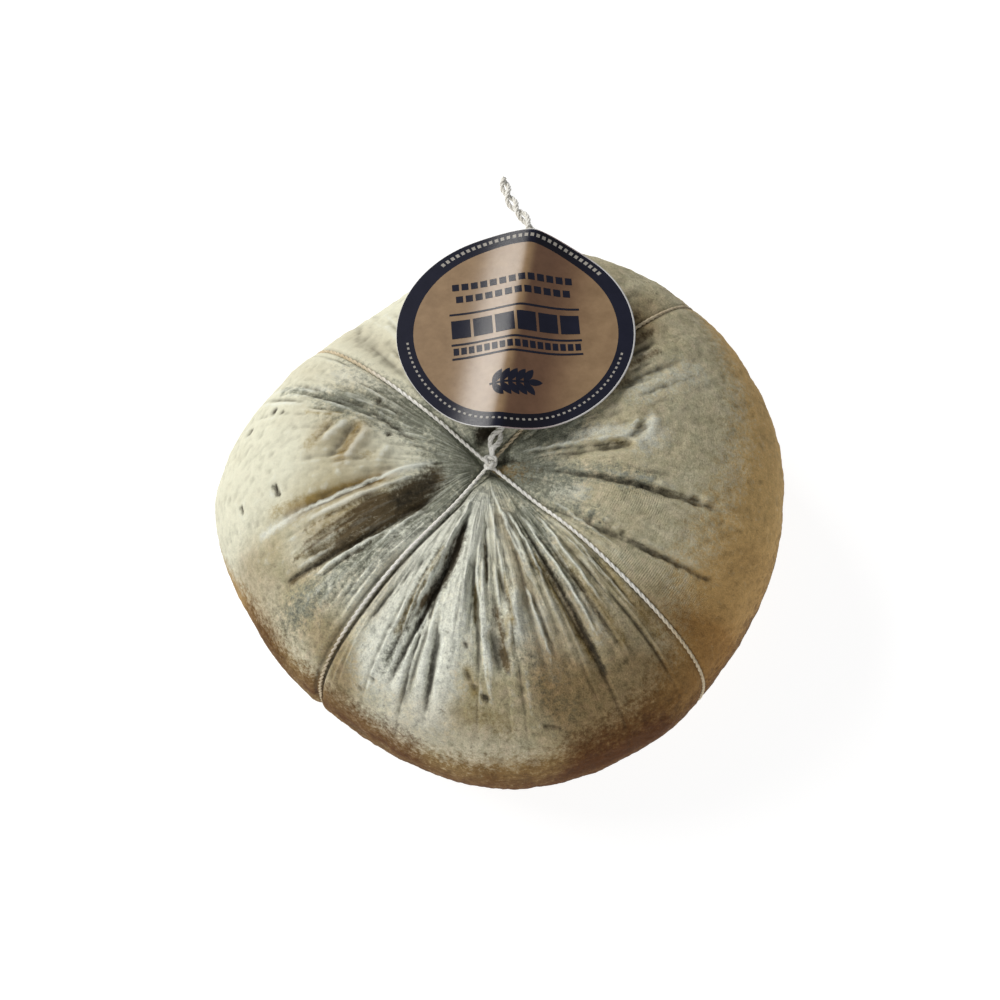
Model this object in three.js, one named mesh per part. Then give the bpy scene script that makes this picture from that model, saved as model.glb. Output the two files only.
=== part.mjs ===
// A goat cheese matured in a cloth that was tied like a parcel. The folds of the cloth are
// pressed into its rind, and its strings, hanging cord and folded card label are still on it.
// Millimetres. X runs to the right, Y to the back and Z up, and the cheese rests on Z = 0.

import * as THREE from 'three';

// Driving sizes of the cheese. The outline's radius is given every 30 degrees, from the right.
const OUTLINE_RADII = [105, 108, 108, 104.5, 89.5, 95, 104.5, 99.5, 99, 104.5, 104, 101];
const GIRTH_HEIGHT = 44;
const SHOULDER_HEIGHT = 96;
const TOP_FULLNESS = 2.3;
const BASE_FULLNESS = 2.5;
const BASE_FLATTENING = 6;
const FLAT_WITHIN = 0.05;
const KNOT_PLACE = { x: -3.9, y: 1.4 };
const DIMPLE = { depth: 14, radius: 34 };
const KNOT_PIT = { depth: 3, radius: 7 };
const CROSSING_HOLLOW = { depth: 3.4, radius: 13 };

// The four strings: the direction each takes, and how far it turns aside close to the knot.
const STRING_DIAMETER = 1.8;
const STRING_TURN_SHARE = 0.12;
const STRINGS = {
  backRight: { azimuth: 46.5, turn: 3 },
  backLeft: { azimuth: 140, turn: -2 },
  frontLeft: { azimuth: 228, turn: 8 },
  frontRight: { azimuth: 316, turn: 0 },
};
const STRING_GROOVE = { halfWidth: 3, topDepth: 1.6, baseDepth: 3.6 };
const STRING_VALLEY = { halfWidth: 11, depth: 2.2 };

const KNOT = { radius: 2, strand: 0.85, height: 82 };
const CORD_DIAMETER = 3.6;
const LABEL = {
  radius: 44,
  thickness: 0.5,
  centre: new THREE.Vector3(5.8, 51.3, 92.9),
  azimuth: 9,
  fall: 7.4,
  leftSlope: 10.5,
  rightSlope: 5,
  ridgeLift: 1.6,
  ridgeHalfWidth: 6,
};

// Faceted pieces that touch keep this gap.
const GAP = 0.35;

// Folds pressed into the rind. Both ends are [azimuth in degrees, distance from the knot as seen
// from above], bow is how far the middle swings to the left as seen from the knot, and a negative
// depth is a ridge.
const FOLDS = [
  // Left side: a smooth bulge with short dents, then the deepest valley.
  { from: [170, 22], to: [156, 88], bow: -3.7, halfWidth: 6, depth: 2.6 },
  { from: [163, 53], to: [177, 65], bow: 0, halfWidth: 2.4, depth: -1.3 },
  { from: [164, 45], to: [188, 56], bow: 0, halfWidth: 2.4, depth: -1.7 },
  { from: [163, 50], to: [182, 60], bow: 0, halfWidth: 2.2, depth: 1.6 },
  { from: [171, 36], to: [188, 42], bow: 0, halfWidth: 2.2, depth: -1.1 },
  { from: [191, 34], to: [196, 84], bow: 0, halfWidth: 3.4, depth: 2.6 },
  { from: [192, 19], to: [198, 78], bow: 1.5, halfWidth: 2.8, depth: -1.9 },
  { from: [207, 12], to: [208, 92], bow: 5.5, halfWidth: 6.5, depth: 6 },
  { from: [222, 32], to: [211, 86], bow: 0, halfWidth: 2, depth: -1.4 },
  // Front: many narrow folds that fan out, with a pinched lump among them.
  { from: [243, 38], to: [232, 82], bow: 0, halfWidth: 2, depth: 1.2 },
  { from: [249, 24], to: [244, 72], bow: 0, halfWidth: 2.6, depth: -1.8 },
  { from: [252, 32], to: [244, 90], bow: 1, halfWidth: 3.4, depth: 4.2 },
  { from: [250, 66], to: [249, 95], bow: 0, halfWidth: 2.2, depth: 2.6 },
  { from: [254, 66], to: [254, 95], bow: 0, halfWidth: 2, depth: 2.6 },
  { from: [259, 10], to: [258, 86], bow: 0, halfWidth: 4.5, depth: -2.4 },
  { from: [262, 42], to: [267, 84], bow: 0, halfWidth: 2, depth: 2 },
  { from: [264, 34], to: [269, 84], bow: 0, halfWidth: 1.8, depth: -1.4 },
  { from: [270, 34], to: [276, 60], bow: 0, halfWidth: 2, depth: 1.6 },
  { from: [280, 50], to: [274, 72], bow: 0, halfWidth: 3.2, depth: -2.4 },
  { from: [269, 64], to: [272, 80], bow: 0, halfWidth: 2.2, depth: 2.4 },
  { from: [285, 26], to: [283, 70], bow: 0, halfWidth: 2.2, depth: 1.6 },
  { from: [292, 42], to: [296, 92], bow: 0, halfWidth: 2.4, depth: 2.8 },
  { from: [297, 28], to: [303, 66], bow: 0, halfWidth: 2.2, depth: 2.4 },
  { from: [302, 62], to: [303, 82], bow: 0, halfWidth: 2, depth: 1.6 },
  { from: [314, 48], to: [311, 72], bow: 0, halfWidth: 2, depth: 1.4 },
  // Right side: two long ragged folds, a hooked one, and short ones beside the label.
  { from: [314, 14], to: [332, 90], bow: -4, halfWidth: 2.4, depth: 2.4 },
  { from: [351, 16], to: [348, 90], bow: -1, halfWidth: 2.4, depth: 2.6 },
  { from: [2, 24], to: [5, 52], bow: 0, halfWidth: 2.2, depth: 1.5 },
  { from: [6, 50], to: [14, 60], bow: 0, halfWidth: 2, depth: 1.6 },
  { from: [40, 64], to: [40, 80], bow: 0, halfWidth: 2.2, depth: 1.4 },
  { from: [31, 52], to: [32, 84], bow: 0, halfWidth: 2.2, depth: 1.4 },
  // Back, mostly under the label: the hollow that the hanging cord lies in, and three folds.
  { from: [74, 8], to: [82, 104], bow: 0, halfWidth: 4.5, depth: 1.4 },
  { from: [134, 22], to: [132, 92], bow: 0, halfWidth: 12, depth: 2.8 },
  { from: [62, 24], to: [62, 86], bow: 0, halfWidth: 3.5, depth: 2 },
  { from: [104, 18], to: [103, 90], bow: 0, halfWidth: 10, depth: 2.8 },
];

// The cord lies over the back of the cheese, down its side and out on the table.
const CORD_ROUTE = [
  [-3.5, 6.2, 84.2],
  [-2.6, 10, 84.7],
  [-0.7, 15, 85.7],
  [1, 22, 87.1],
  [3.3, 32, 89.7],
  [6, 45, 91.6],
  [8.3, 57, 90.8],
  [10.1, 67.5, 88.3],
  [11.5, 77, 84.9],
  [12.4, 85.3, 80.7],
  [13, 92.5, 75.8],
  [13.2, 98.6, 70.2],
  [13.2, 103.2, 64],
  [13.3, 106.3, 57],
  [13.4, 107.9, 49],
  [13.4, 108.2, 40],
  [13.3, 108.4, 30],
  [13.2, 108.9, 20],
  [13, 110.6, 11.5],
  [12.8, 115, 5.2],
  [12.7, 121.5, 2.6],
  [12.7, 130, 2.1],
  [12.6, 138, 2.1],
  [12.1, 144.5, 2.1],
  [10, 149, 2.1],
  [6.8, 153, 2.1],
  [4, 158, 2.1],
  [2.3, 163, 2.1],
  [1.6, 167.6, 2.1],
];

// How finely the cheese is faceted: columns in each quarter between two strings, and rings.
const QUARTER_COLUMNS = 27;
const TOP_RINGS = 27;
const BASE_RINGS = 13;
const FOLD_SAMPLES = 10;

const radians = THREE.MathUtils.degToRad;
const clamp = THREE.MathUtils.clamp;
const lerp = THREE.MathUtils.lerp;
const FULL_TURN = 2 * Math.PI;

function bell(distance, halfWidth) {
  return Math.exp(-((distance / halfWidth) ** 2));
}

// Smooth closed curve through the outline's radii.
function outlineRadius(azimuth) {
  const count = OUTLINE_RADII.length;
  const place = (THREE.MathUtils.euclideanModulo(azimuth, FULL_TURN) / FULL_TURN) * count;
  const index = Math.floor(place);
  const t = place - index;
  const [a, b, c, d] = [-1, 0, 1, 2].map((k) => OUTLINE_RADII[(index + k + count) % count]);
  return b + 0.5 * t * (c - a + t * (2 * a - 5 * b + 4 * c - d + t * (3 * (b - c) + d - a)));
}

// A place on the cheese is an azimuth and a share of the way down, which is 0 at the knot,
// 0.5 at the girth and 1 under the middle of the base.
function fullness(down) {
  return down <= 0.5 ? TOP_FULLNESS : BASE_FULLNESS;
}

function radiusAt(azimuth, down) {
  return outlineRadius(azimuth) * Math.abs(Math.sin(Math.PI * down)) ** (2 / fullness(down));
}

// The cheese without its folds.
function plainPoint(azimuth, down) {
  const onTop = down <= 0.5;
  const radius = radiusAt(azimuth, down);
  const lift = Math.abs(Math.cos(Math.PI * down)) ** (2 / fullness(down));
  const shift = 1 - THREE.MathUtils.smoothstep(down, 0, 0.5);
  let z = GIRTH_HEIGHT - (GIRTH_HEIGHT + BASE_FLATTENING) * lift;
  if (onTop) {
    z = GIRTH_HEIGHT + (SHOULDER_HEIGHT - GIRTH_HEIGHT) * lift;
    z -= DIMPLE.depth * bell(radius, DIMPLE.radius) + KNOT_PIT.depth * bell(radius, KNOT_PIT.radius);
  }
  return new THREE.Vector3(
    KNOT_PLACE.x * shift + radius * Math.cos(azimuth),
    KNOT_PLACE.y * shift + radius * Math.sin(azimuth),
    Math.max(z, 0),
  );
}

function plainNormal(azimuth, down) {
  const step = 0.001;
  const across = plainPoint(azimuth + step, down).sub(plainPoint(azimuth - step, down));
  const along = plainPoint(azimuth, down + step).sub(plainPoint(azimuth, down - step));
  return along.cross(across).normalize();
}

function stringAzimuth(string, down) {
  const turn = string.turn * Math.exp(-down / STRING_TURN_SHARE);
  return radians(string.azimuth + turn);
}

// Distance along the rind between a place and a string, across the string.
function offString(string, azimuth, down) {
  const turn = THREE.MathUtils.euclideanModulo(
    azimuth - stringAzimuth(string, down) + Math.PI, FULL_TURN) - Math.PI;
  return turn * radiusAt(azimuth, down);
}

function grooveDepth(down) {
  const blend = THREE.MathUtils.smoothstep(down, 0.4, 0.75);
  return lerp(STRING_GROOVE.topDepth, STRING_GROOVE.baseDepth, blend);
}

// A fold's path as seen from above, with the knot at 0, 0.
function foldPath({ from, to, bow }) {
  const [start, end] = [from, to].map(([azimuth, distance]) => new THREE.Vector2(
    distance * Math.cos(radians(azimuth)), distance * Math.sin(radians(azimuth))));
  const side = end.clone().sub(start).normalize().rotateAround(new THREE.Vector2(), Math.PI / 2);
  const middle = start.clone().add(end).multiplyScalar(0.5).addScaledVector(side, 2 * bow);
  return new THREE.QuadraticBezierCurve(start, middle, end).getPoints(FOLD_SAMPLES);
}

const FOLD_PATHS = FOLDS.map((fold) => ({ ...fold, path: foldPath(fold) }));

// A fold's depth at a place: it starts quickly and dies away slowly.
function foldDepth({ path, halfWidth, depth }, place) {
  let nearest = Infinity;
  let share = 0;
  for (let i = 0; i + 1 < path.length; i += 1) {
    const step = path[i + 1].clone().sub(path[i]);
    const t = clamp(place.clone().sub(path[i]).dot(step) / step.lengthSq(), 0, 1);
    const distance = place.distanceTo(path[i].clone().addScaledVector(step, t));
    if (distance < nearest) {
      nearest = distance;
      share = (i + t) / FOLD_SAMPLES;
    }
  }
  return depth * Math.min(1, 5 * share, 2.5 * (1 - share)) * bell(nearest, halfWidth);
}

// How far the strings and the folds draw the rind in at a place.
function relief(azimuth, down) {
  const offs = Object.values(STRINGS).map((string) => Math.abs(offString(string, azimuth, down)));
  const off = Math.min(...offs);
  const girth = Math.sqrt(Math.abs(Math.sin(Math.PI * down)));
  const groove = grooveDepth(down) * bell(off, STRING_GROOVE.halfWidth / 1.6);
  const valley = STRING_VALLEY.depth * girth * bell(off, STRING_VALLEY.halfWidth);
  const radius = radiusAt(azimuth, down);
  const hollow = down > 0.5 ? CROSSING_HOLLOW.depth * bell(radius, CROSSING_HOLLOW.radius) : 0;
  if (down > 0.5) return groove + valley + hollow;
  const place = new THREE.Vector2(radius * Math.cos(azimuth), radius * Math.sin(azimuth));
  const folds = FOLD_PATHS.reduce((sum, fold) => sum + foldDepth(fold, place), 0);
  return groove + valley + folds;
}

// A point of the folded rind. The base is quite flat where nothing draws it in.
function rindPoint(azimuth, down) {
  const point = plainPoint(azimuth, down);
  point.addScaledVector(plainNormal(azimuth, down), -relief(azimuth, down));
  if (point.z < FLAT_WITHIN) point.z = 0;
  return point;
}

// Columns crowd at the strings' grooves, which keep their width all the way round.
function columnAzimuths(down) {
  const strings = Object.values(STRINGS);
  const azimuths = [];
  strings.forEach((string, i) => {
    const here = stringAzimuth(string, down);
    let next = stringAzimuth(strings[(i + 1) % strings.length], down);
    if (next < here) next += FULL_TURN;
    const edge = Math.min(STRING_GROOVE.halfWidth / radiusAt(here, down), (next - here) / QUARTER_COLUMNS);
    azimuths.push(here);
    for (let j = 0; j < QUARTER_COLUMNS - 1; j += 1) {
      azimuths.push(lerp(here + edge, next - edge, j / (QUARTER_COLUMNS - 2)));
    }
  });
  return azimuths;
}

// The rings from the knot to the middle of the base, closest together on top.
function ringPlaces() {
  const places = [];
  for (let i = 1; i <= TOP_RINGS; i += 1) places.push(0.5 * (i / TOP_RINGS) ** 1.15);
  for (let i = 1; i < BASE_RINGS; i += 1) places.push(0.5 + 0.47 * (i / (BASE_RINGS - 1)));
  return places;
}

function geometryFrom(points, faces) {
  const geometry = new THREE.BufferGeometry().setFromPoints(points);
  geometry.setIndex(faces.flat());
  geometry.computeVertexNormals();
  return geometry;
}

function cheeseGeometry() {
  const rings = ringPlaces();
  const columns = 4 * QUARTER_COLUMNS;
  const points = [rindPoint(0, 0.0005)];
  for (const down of rings) {
    for (const azimuth of columnAzimuths(down)) points.push(rindPoint(azimuth, down));
  }
  points[0].set(KNOT_PLACE.x, KNOT_PLACE.y, points[0].z);
  points.push(new THREE.Vector3(0, 0, STRING_GROOVE.baseDepth + CROSSING_HOLLOW.depth));
  const last = points.length - 1;
  const at = (ring, column) => 1 + ring * columns + (column % columns);
  const faces = [];
  for (let column = 0; column < columns; column += 1) {
    faces.push([0, at(0, column), at(0, column + 1)]);
    faces.push([last, at(rings.length - 1, column + 1), at(rings.length - 1, column)]);
    for (let ring = 0; ring + 1 < rings.length; ring += 1) {
      const [a, b] = [at(ring, column), at(ring, column + 1)];
      const [c, d] = [at(ring + 1, column + 1), at(ring + 1, column)];
      faces.push([a, d, c], [a, c, b]);
    }
  }
  return geometryFrom(points, faces);
}

// A round section swept along a smooth curve through the points.
function tubeGeometry(points, diameter, steps) {
  const section = new THREE.Shape();
  section.absarc(0, 0, diameter / 2, 0, FULL_TURN);
  return new THREE.ExtrudeGeometry(section, {
    steps,
    curveSegments: 4,
    bevelEnabled: false,
    extrudePath: new THREE.CatmullRomCurve3(points),
  });
}

// Half of a string loop: out of the knot, down its groove and in under the base.
function stringHalf(string) {
  const rest = STRING_DIAMETER / 2 + GAP;
  const points = [];
  const start = stringAzimuth(string, 0);
  const reach = 1.5 * KNOT.radius + KNOT.strand + GAP;
  points.push(new THREE.Vector3(
    KNOT_PLACE.x + reach * Math.cos(start), KNOT_PLACE.y + reach * Math.sin(start), KNOT.height - 0.2));
  for (const down of [0.04, 0.06, 0.09, 0.13, 0.17, 0.21, 0.25, 0.29, 0.33, 0.37, 0.41, 0.45,
    0.49, 0.53, 0.57, 0.61, 0.65, 0.69, 0.73, 0.77, 0.82, 0.88]) {
    const azimuth = stringAzimuth(string, down);
    const slope = grooveDepth(down) / STRING_GROOVE.halfWidth;
    points.push(rindPoint(azimuth, down).addScaledVector(
      plainNormal(azimuth, down), rest * Math.hypot(1, slope)));
  }
  return points;
}

// A loop from the knot round the cheese and back. One loop passes over the other underneath.
function stringLoop(first, second, lift) {
  const going = stringHalf(first);
  const coming = stringHalf(second).reverse();
  const floor = going[going.length - 1].z;
  const crossing = [
    new THREE.Vector3().copy(going[going.length - 1]).multiplyScalar(0.3).setZ(floor + 0.3 * lift),
    new THREE.Vector3(0, 0, floor + lift),
    new THREE.Vector3().copy(coming[0]).multiplyScalar(0.3).setZ(floor + 0.3 * lift),
  ];
  return tubeGeometry([...going, ...crossing, ...coming], STRING_DIAMETER, 72);
}

// The card label, folded over the cord. Its folding lines are straight, so each is two points.
function labelGeometry() {
  const lines = 13;
  const along = new THREE.Vector3(0, 1, 0).applyAxisAngle(new THREE.Vector3(1, 0, 0), -radians(LABEL.fall));
  const across = new THREE.Vector3(1, 0, 0);
  const up = across.clone().cross(along);
  const points = [];
  const rows = [];
  for (let i = -lines; i <= lines; i += 1) {
    const turn = (Math.sign(i) * Math.PI * Math.abs(i / lines) ** 1.5) / 2;
    const side = LABEL.radius * Math.sin(turn);
    const half = Math.max(LABEL.radius * Math.cos(turn), 0);
    const slope = Math.tan(radians(i < 0 ? LABEL.leftSlope : LABEL.rightSlope));
    const rise = LABEL.ridgeLift * bell(side, LABEL.ridgeHalfWidth) - slope * Math.abs(side);
    const ends = Math.abs(i) === lines ? [0] : [-half, half];
    const row = { top: [], under: [] };
    for (const [name, drop] of [['top', 0], ['under', LABEL.thickness]]) {
      for (const end of ends) {
        row[name].push(points.length);
        points.push(new THREE.Vector3()
          .addScaledVector(along, end).addScaledVector(across, side).addScaledVector(up, rise - drop));
      }
    }
    rows.push(row);
  }
  const faces = [];
  const quad = (a, b, c, d) => faces.push(...[[a, b, c], [a, c, d]].filter((f) => new Set(f).size === 3));
  for (let i = 0; i + 1 < rows.length; i += 1) {
    const [left, right] = [rows[i], rows[i + 1]];
    const [leftNear, leftFar] = [left.top[0], left.top[left.top.length - 1]];
    const [rightNear, rightFar] = [right.top[0], right.top[right.top.length - 1]];
    const [lowLeftNear, lowLeftFar] = [left.under[0], left.under[left.under.length - 1]];
    const [lowRightNear, lowRightFar] = [right.under[0], right.under[right.under.length - 1]];
    quad(leftNear, rightNear, rightFar, leftFar);
    quad(lowLeftNear, lowLeftFar, lowRightFar, lowRightNear);
    quad(lowLeftNear, lowRightNear, rightNear, leftNear);
    quad(leftFar, rightFar, lowRightFar, lowLeftFar);
  }
  return geometryFrom(points, faces);
}

function mesh(name, geometry, colour, roughness) {
  const material = new THREE.MeshStandardMaterial({ color: colour, roughness, metalness: 0 });
  const piece = new THREE.Mesh(geometry, material);
  piece.name = name;
  return piece;
}

const RIND = 0xc6c2a2;
const TWINE = 0xd8d4c6;
const CARD = 0xa98a63;

const cheese = mesh('cheese', cheeseGeometry(), RIND, 0.9);
const lift = STRING_DIAMETER + GAP;
const loopLeft = mesh('string_loop_a', stringLoop(STRINGS.frontLeft, STRINGS.backRight, 0), TWINE, 0.9);
const loopRight = mesh('string_loop_b', stringLoop(STRINGS.frontRight, STRINGS.backLeft, lift), TWINE, 0.9);

const knot = mesh('knot', new THREE.TorusKnotGeometry(KNOT.radius, KNOT.strand, 44, 8, 2, 3), TWINE, 0.9);
knot.position.set(KNOT_PLACE.x, KNOT_PLACE.y, KNOT.height);

const cordPoints = CORD_ROUTE.map((point) => new THREE.Vector3(...point));
const cord = mesh('hanging_cord', tubeGeometry(cordPoints, CORD_DIAMETER, 52), TWINE, 0.9);

const label = mesh('label', labelGeometry(), CARD, 0.35);
label.position.copy(LABEL.centre);
label.rotation.z = -radians(LABEL.azimuth);

// The origin is under the middle of the cheese with its strings, knot and label.
const part = new THREE.Group();
part.add(cheese, loopLeft, loopRight, knot, label);
const middle = new THREE.Box3().setFromObject(part, true).getCenter(new THREE.Vector3());
part.add(cord);
part.position.set(-middle.x, -middle.y, 0);
part.updateMatrixWorld(true);

export default part;
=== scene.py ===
"""A goat cheese matured in a tied cloth, dressed over its solids.

Shapes are worked out in millimetres in the part's own frame, as the solids are. They are moved
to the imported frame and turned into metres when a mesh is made.
"""

import math

import bpy
import numpy as np
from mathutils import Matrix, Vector


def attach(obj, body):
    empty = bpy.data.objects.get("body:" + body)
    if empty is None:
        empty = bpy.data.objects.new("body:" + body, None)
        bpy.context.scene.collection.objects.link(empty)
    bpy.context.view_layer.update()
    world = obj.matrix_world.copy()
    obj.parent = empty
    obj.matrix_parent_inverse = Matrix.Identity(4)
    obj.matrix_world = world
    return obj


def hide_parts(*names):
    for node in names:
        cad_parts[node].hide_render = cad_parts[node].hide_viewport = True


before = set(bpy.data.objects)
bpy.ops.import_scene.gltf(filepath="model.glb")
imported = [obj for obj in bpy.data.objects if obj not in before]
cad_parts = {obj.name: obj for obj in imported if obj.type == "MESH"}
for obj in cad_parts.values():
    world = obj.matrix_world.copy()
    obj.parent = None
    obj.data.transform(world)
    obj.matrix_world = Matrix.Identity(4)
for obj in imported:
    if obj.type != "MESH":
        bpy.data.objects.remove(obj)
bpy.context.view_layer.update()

MM = 0.001
FULL_TURN = 2 * math.pi

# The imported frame's origin is under the middle of the cheese and its label.
FRAME_SHIFT = np.array([-0.36, -0.44, 0])

# Driving sizes of the cheese, as in the solids. The outline's radius is given every 30 degrees.
OUTLINE_RADII = (105, 108, 108, 104.5, 89.5, 95, 104.5, 99.5, 99, 104.5, 104, 101)
GIRTH_HEIGHT = 44
SHOULDER_HEIGHT = 96
TOP_FULLNESS = 2.3
BASE_FULLNESS = 2.5
BASE_FLATTENING = 6
KNOT_PLACE = (-3.9, 1.4)
DIMPLE_DEPTH = 14
DIMPLE_RADIUS = 34
KNOT_PIT_DEPTH = 3
KNOT_PIT_RADIUS = 7
CROSSING_HOLLOW_DEPTH = 3.4
CROSSING_HOLLOW_RADIUS = 13

# The four strings: the direction each takes, and how far it turns aside close to the knot.
STRING_DIAMETER = 1.8
STRAND_OFFSET = 0.3
STRAND_RADIUS = 0.46
STRAND_PITCH = 5
STRING_TURN_SHARE = 0.12
STRINGS = {
    "back right": (46.5, 3),
    "back left": (140, -2),
    "front left": (228, 8),
    "front right": (316, 0),
}

# How deep each string is sunk in the rind.
STRING_SINK = {"back right": 0.5, "back left": 0.2, "front left": 1.1, "front right": 0.35}

# How far from the knot each string stays clean, from the back right one round. Farther out it
# takes on the colour of the rind.
STRING_CLEAN = (-20, 40, 70, 68)

# The groove under each string, narrower in the finish than in the solids, and the valley beside it.
GROOVE_HALF_WIDTH = 3
GROOVE_BELL = GROOVE_HALF_WIDTH / 1.9
SOLID_GROOVE_BELL = GROOVE_HALF_WIDTH / 1.6
GROOVE_TOP_DEPTH = 1.6
GROOVE_BASE_DEPTH = 3.6
VALLEY_HALF_WIDTH = 11
VALLEY_DEPTH = 2.2

# The knot and the hanging cord, whose two twisted strands have three plies each, and the gap that
# is left between pieces.
KNOT_RADIUS = 2
KNOT_STRAND = 0.85
KNOT_HEIGHT = 82
CORD_LOOPS = 27
PLY_OFFSET = 0.5
PLY_RADIUS = 0.58
GAP = 0.35

# The folded card label.
LABEL_RADIUS = 43.3
LABEL_THICKNESS = 0.35
LABEL_CENTRE = (5.8, 51.3, 92.9)
LABEL_AZIMUTH = 9
LABEL_FALL = 7.4
LABEL_RIDGE_LIFT = 1.6
KRAFT_RADIUS = 37.1
BORDER_RADIUS = 43.0
BORDER_SHIFT = -0.3

# The print on the card, turned against the fold: rules, bands of blocks, a sprig and marks round
# the ring. A band is its place up the card, how many blocks it has, their step, width and height.
PRINT_TURN = math.radians(-12.6)
PRINT_LIFT = 0.05
RULE_HEIGHTS = (8.6, -5.2, -11.3)
RULE_LENGTH = 47.2
RULE_WIDTH = 0.9
BLOCK_BANDS = (
    (21, 13, 3.45, 2.5, 3), (15.4, 12, 3.55, 2.6, 3), (-8.2, 17, 2.75, 2, 3), (1.7, 6, 7.9, 6.9, 8.2),
)
SPRIG_PLACE = (-10, -24)
LEAF_LENGTH = 6.4
LEAF_WIDTH = 2.7

# Two rows of marks: how many, the first one's direction in degrees, their radius, width and height.
RING_MARKS = ((30, 50, 40.6, 1.3, 1.5), (52, 196, 39.4, 1.0, 0.8))
RING_MARK_STEP = 3.1

# The cord lies over the back of the cheese, down its side and out on the table.
CORD_ROUTE = (
    (-3.5, 6.2, 84.2), (-2.6, 10, 84.7), (-0.7, 15, 85.7), (1, 22, 87.1), (3.3, 32, 89.7),
    (6, 45, 91.6), (8.3, 57, 90.8), (10.1, 67.5, 88.3), (11.5, 77, 84.9), (12.4, 85.3, 80.7),
    (13, 92.5, 75.8), (13.2, 98.6, 70.2), (13.2, 103.2, 64), (13.3, 106.3, 57), (13.4, 107.9, 49),
    (13.4, 108.2, 40), (13.3, 108.4, 30), (13.2, 108.9, 20), (13, 110.6, 11.5), (12.8, 115, 5.2),
    (12.7, 121.5, 2.6), (12.7, 130, 2.1), (12.6, 138, 2.1), (12.1, 144.5, 2.1), (10, 149, 2.1),
    (6.8, 153, 2.1), (4, 158, 2.1), (2.3, 163, 2.1), (1.6, 167.6, 2.1),
)

# The main folds, as in the solids, seen from above. A row is the azimuth in degrees and the
# distance from the knot at both ends, the half width, the depth, and for a path that isn't straight
# how far its middle bows to the left.
FOLDS = (
    # Left side: a smooth bulge with short dents, then the deepest valley.
    (170, 22, 156, 88, 6, 2.6, -3.7), (163, 53, 177, 65, 2.4, -1.3), (164, 45, 188, 56, 2.4, -1.7),
    (163, 50, 182, 60, 2.2, 1.6), (171, 36, 188, 42, 2.2, -1.1), (191, 34, 196, 84, 3.4, 2.6),
    (192, 19, 198, 78, 2.8, -1.9, 1.5), (207, 12, 208, 92, 6.5, 6, 5.5), (222, 32, 211, 86, 2, -1.4),
    # Front: many narrow folds that fan out, with a pinched lump among them.
    (243, 38, 232, 82, 2, 1.2), (249, 24, 244, 72, 2.6, -1.8), (252, 32, 244, 90, 3.4, 4.2, 1),
    (250, 66, 249, 95, 2.2, 2.6), (254, 66, 254, 95, 2, 2.6), (259, 10, 258, 86, 4.5, -2.4),
    (262, 42, 267, 84, 2, 2), (264, 34, 269, 84, 1.8, -1.4), (270, 34, 276, 60, 2, 1.6),
    (280, 50, 274, 72, 3.2, -2.4), (269, 64, 272, 80, 2.2, 2.4), (285, 26, 283, 70, 2.2, 1.6),
    (292, 42, 296, 92, 2.4, 2.8), (297, 28, 303, 66, 2.2, 2.4), (302, 62, 303, 82, 2, 1.6),
    (314, 48, 311, 72, 2, 1.4),
    # Right side: two long ragged folds, a hooked one, and short ones beside the label.
    (314, 14, 332, 90, 2.4, 2.4, -4), (351, 16, 348, 90, 2.4, 2.6, -1), (2, 24, 5, 52, 2.2, 1.5),
    (6, 50, 14, 60, 2, 1.6), (40, 64, 40, 80, 2.2, 1.4), (31, 52, 32, 84, 2.2, 1.4),
    # Back, mostly under the label: the hollow that the hanging cord lies in, and folds.
    (74, 8, 82, 104, 4.5, 1.4), (134, 22, 132, 92, 12, 2.8), (62, 24, 62, 86, 3.5, 2),
    (104, 18, 103, 90, 10, 2.8),
)

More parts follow.
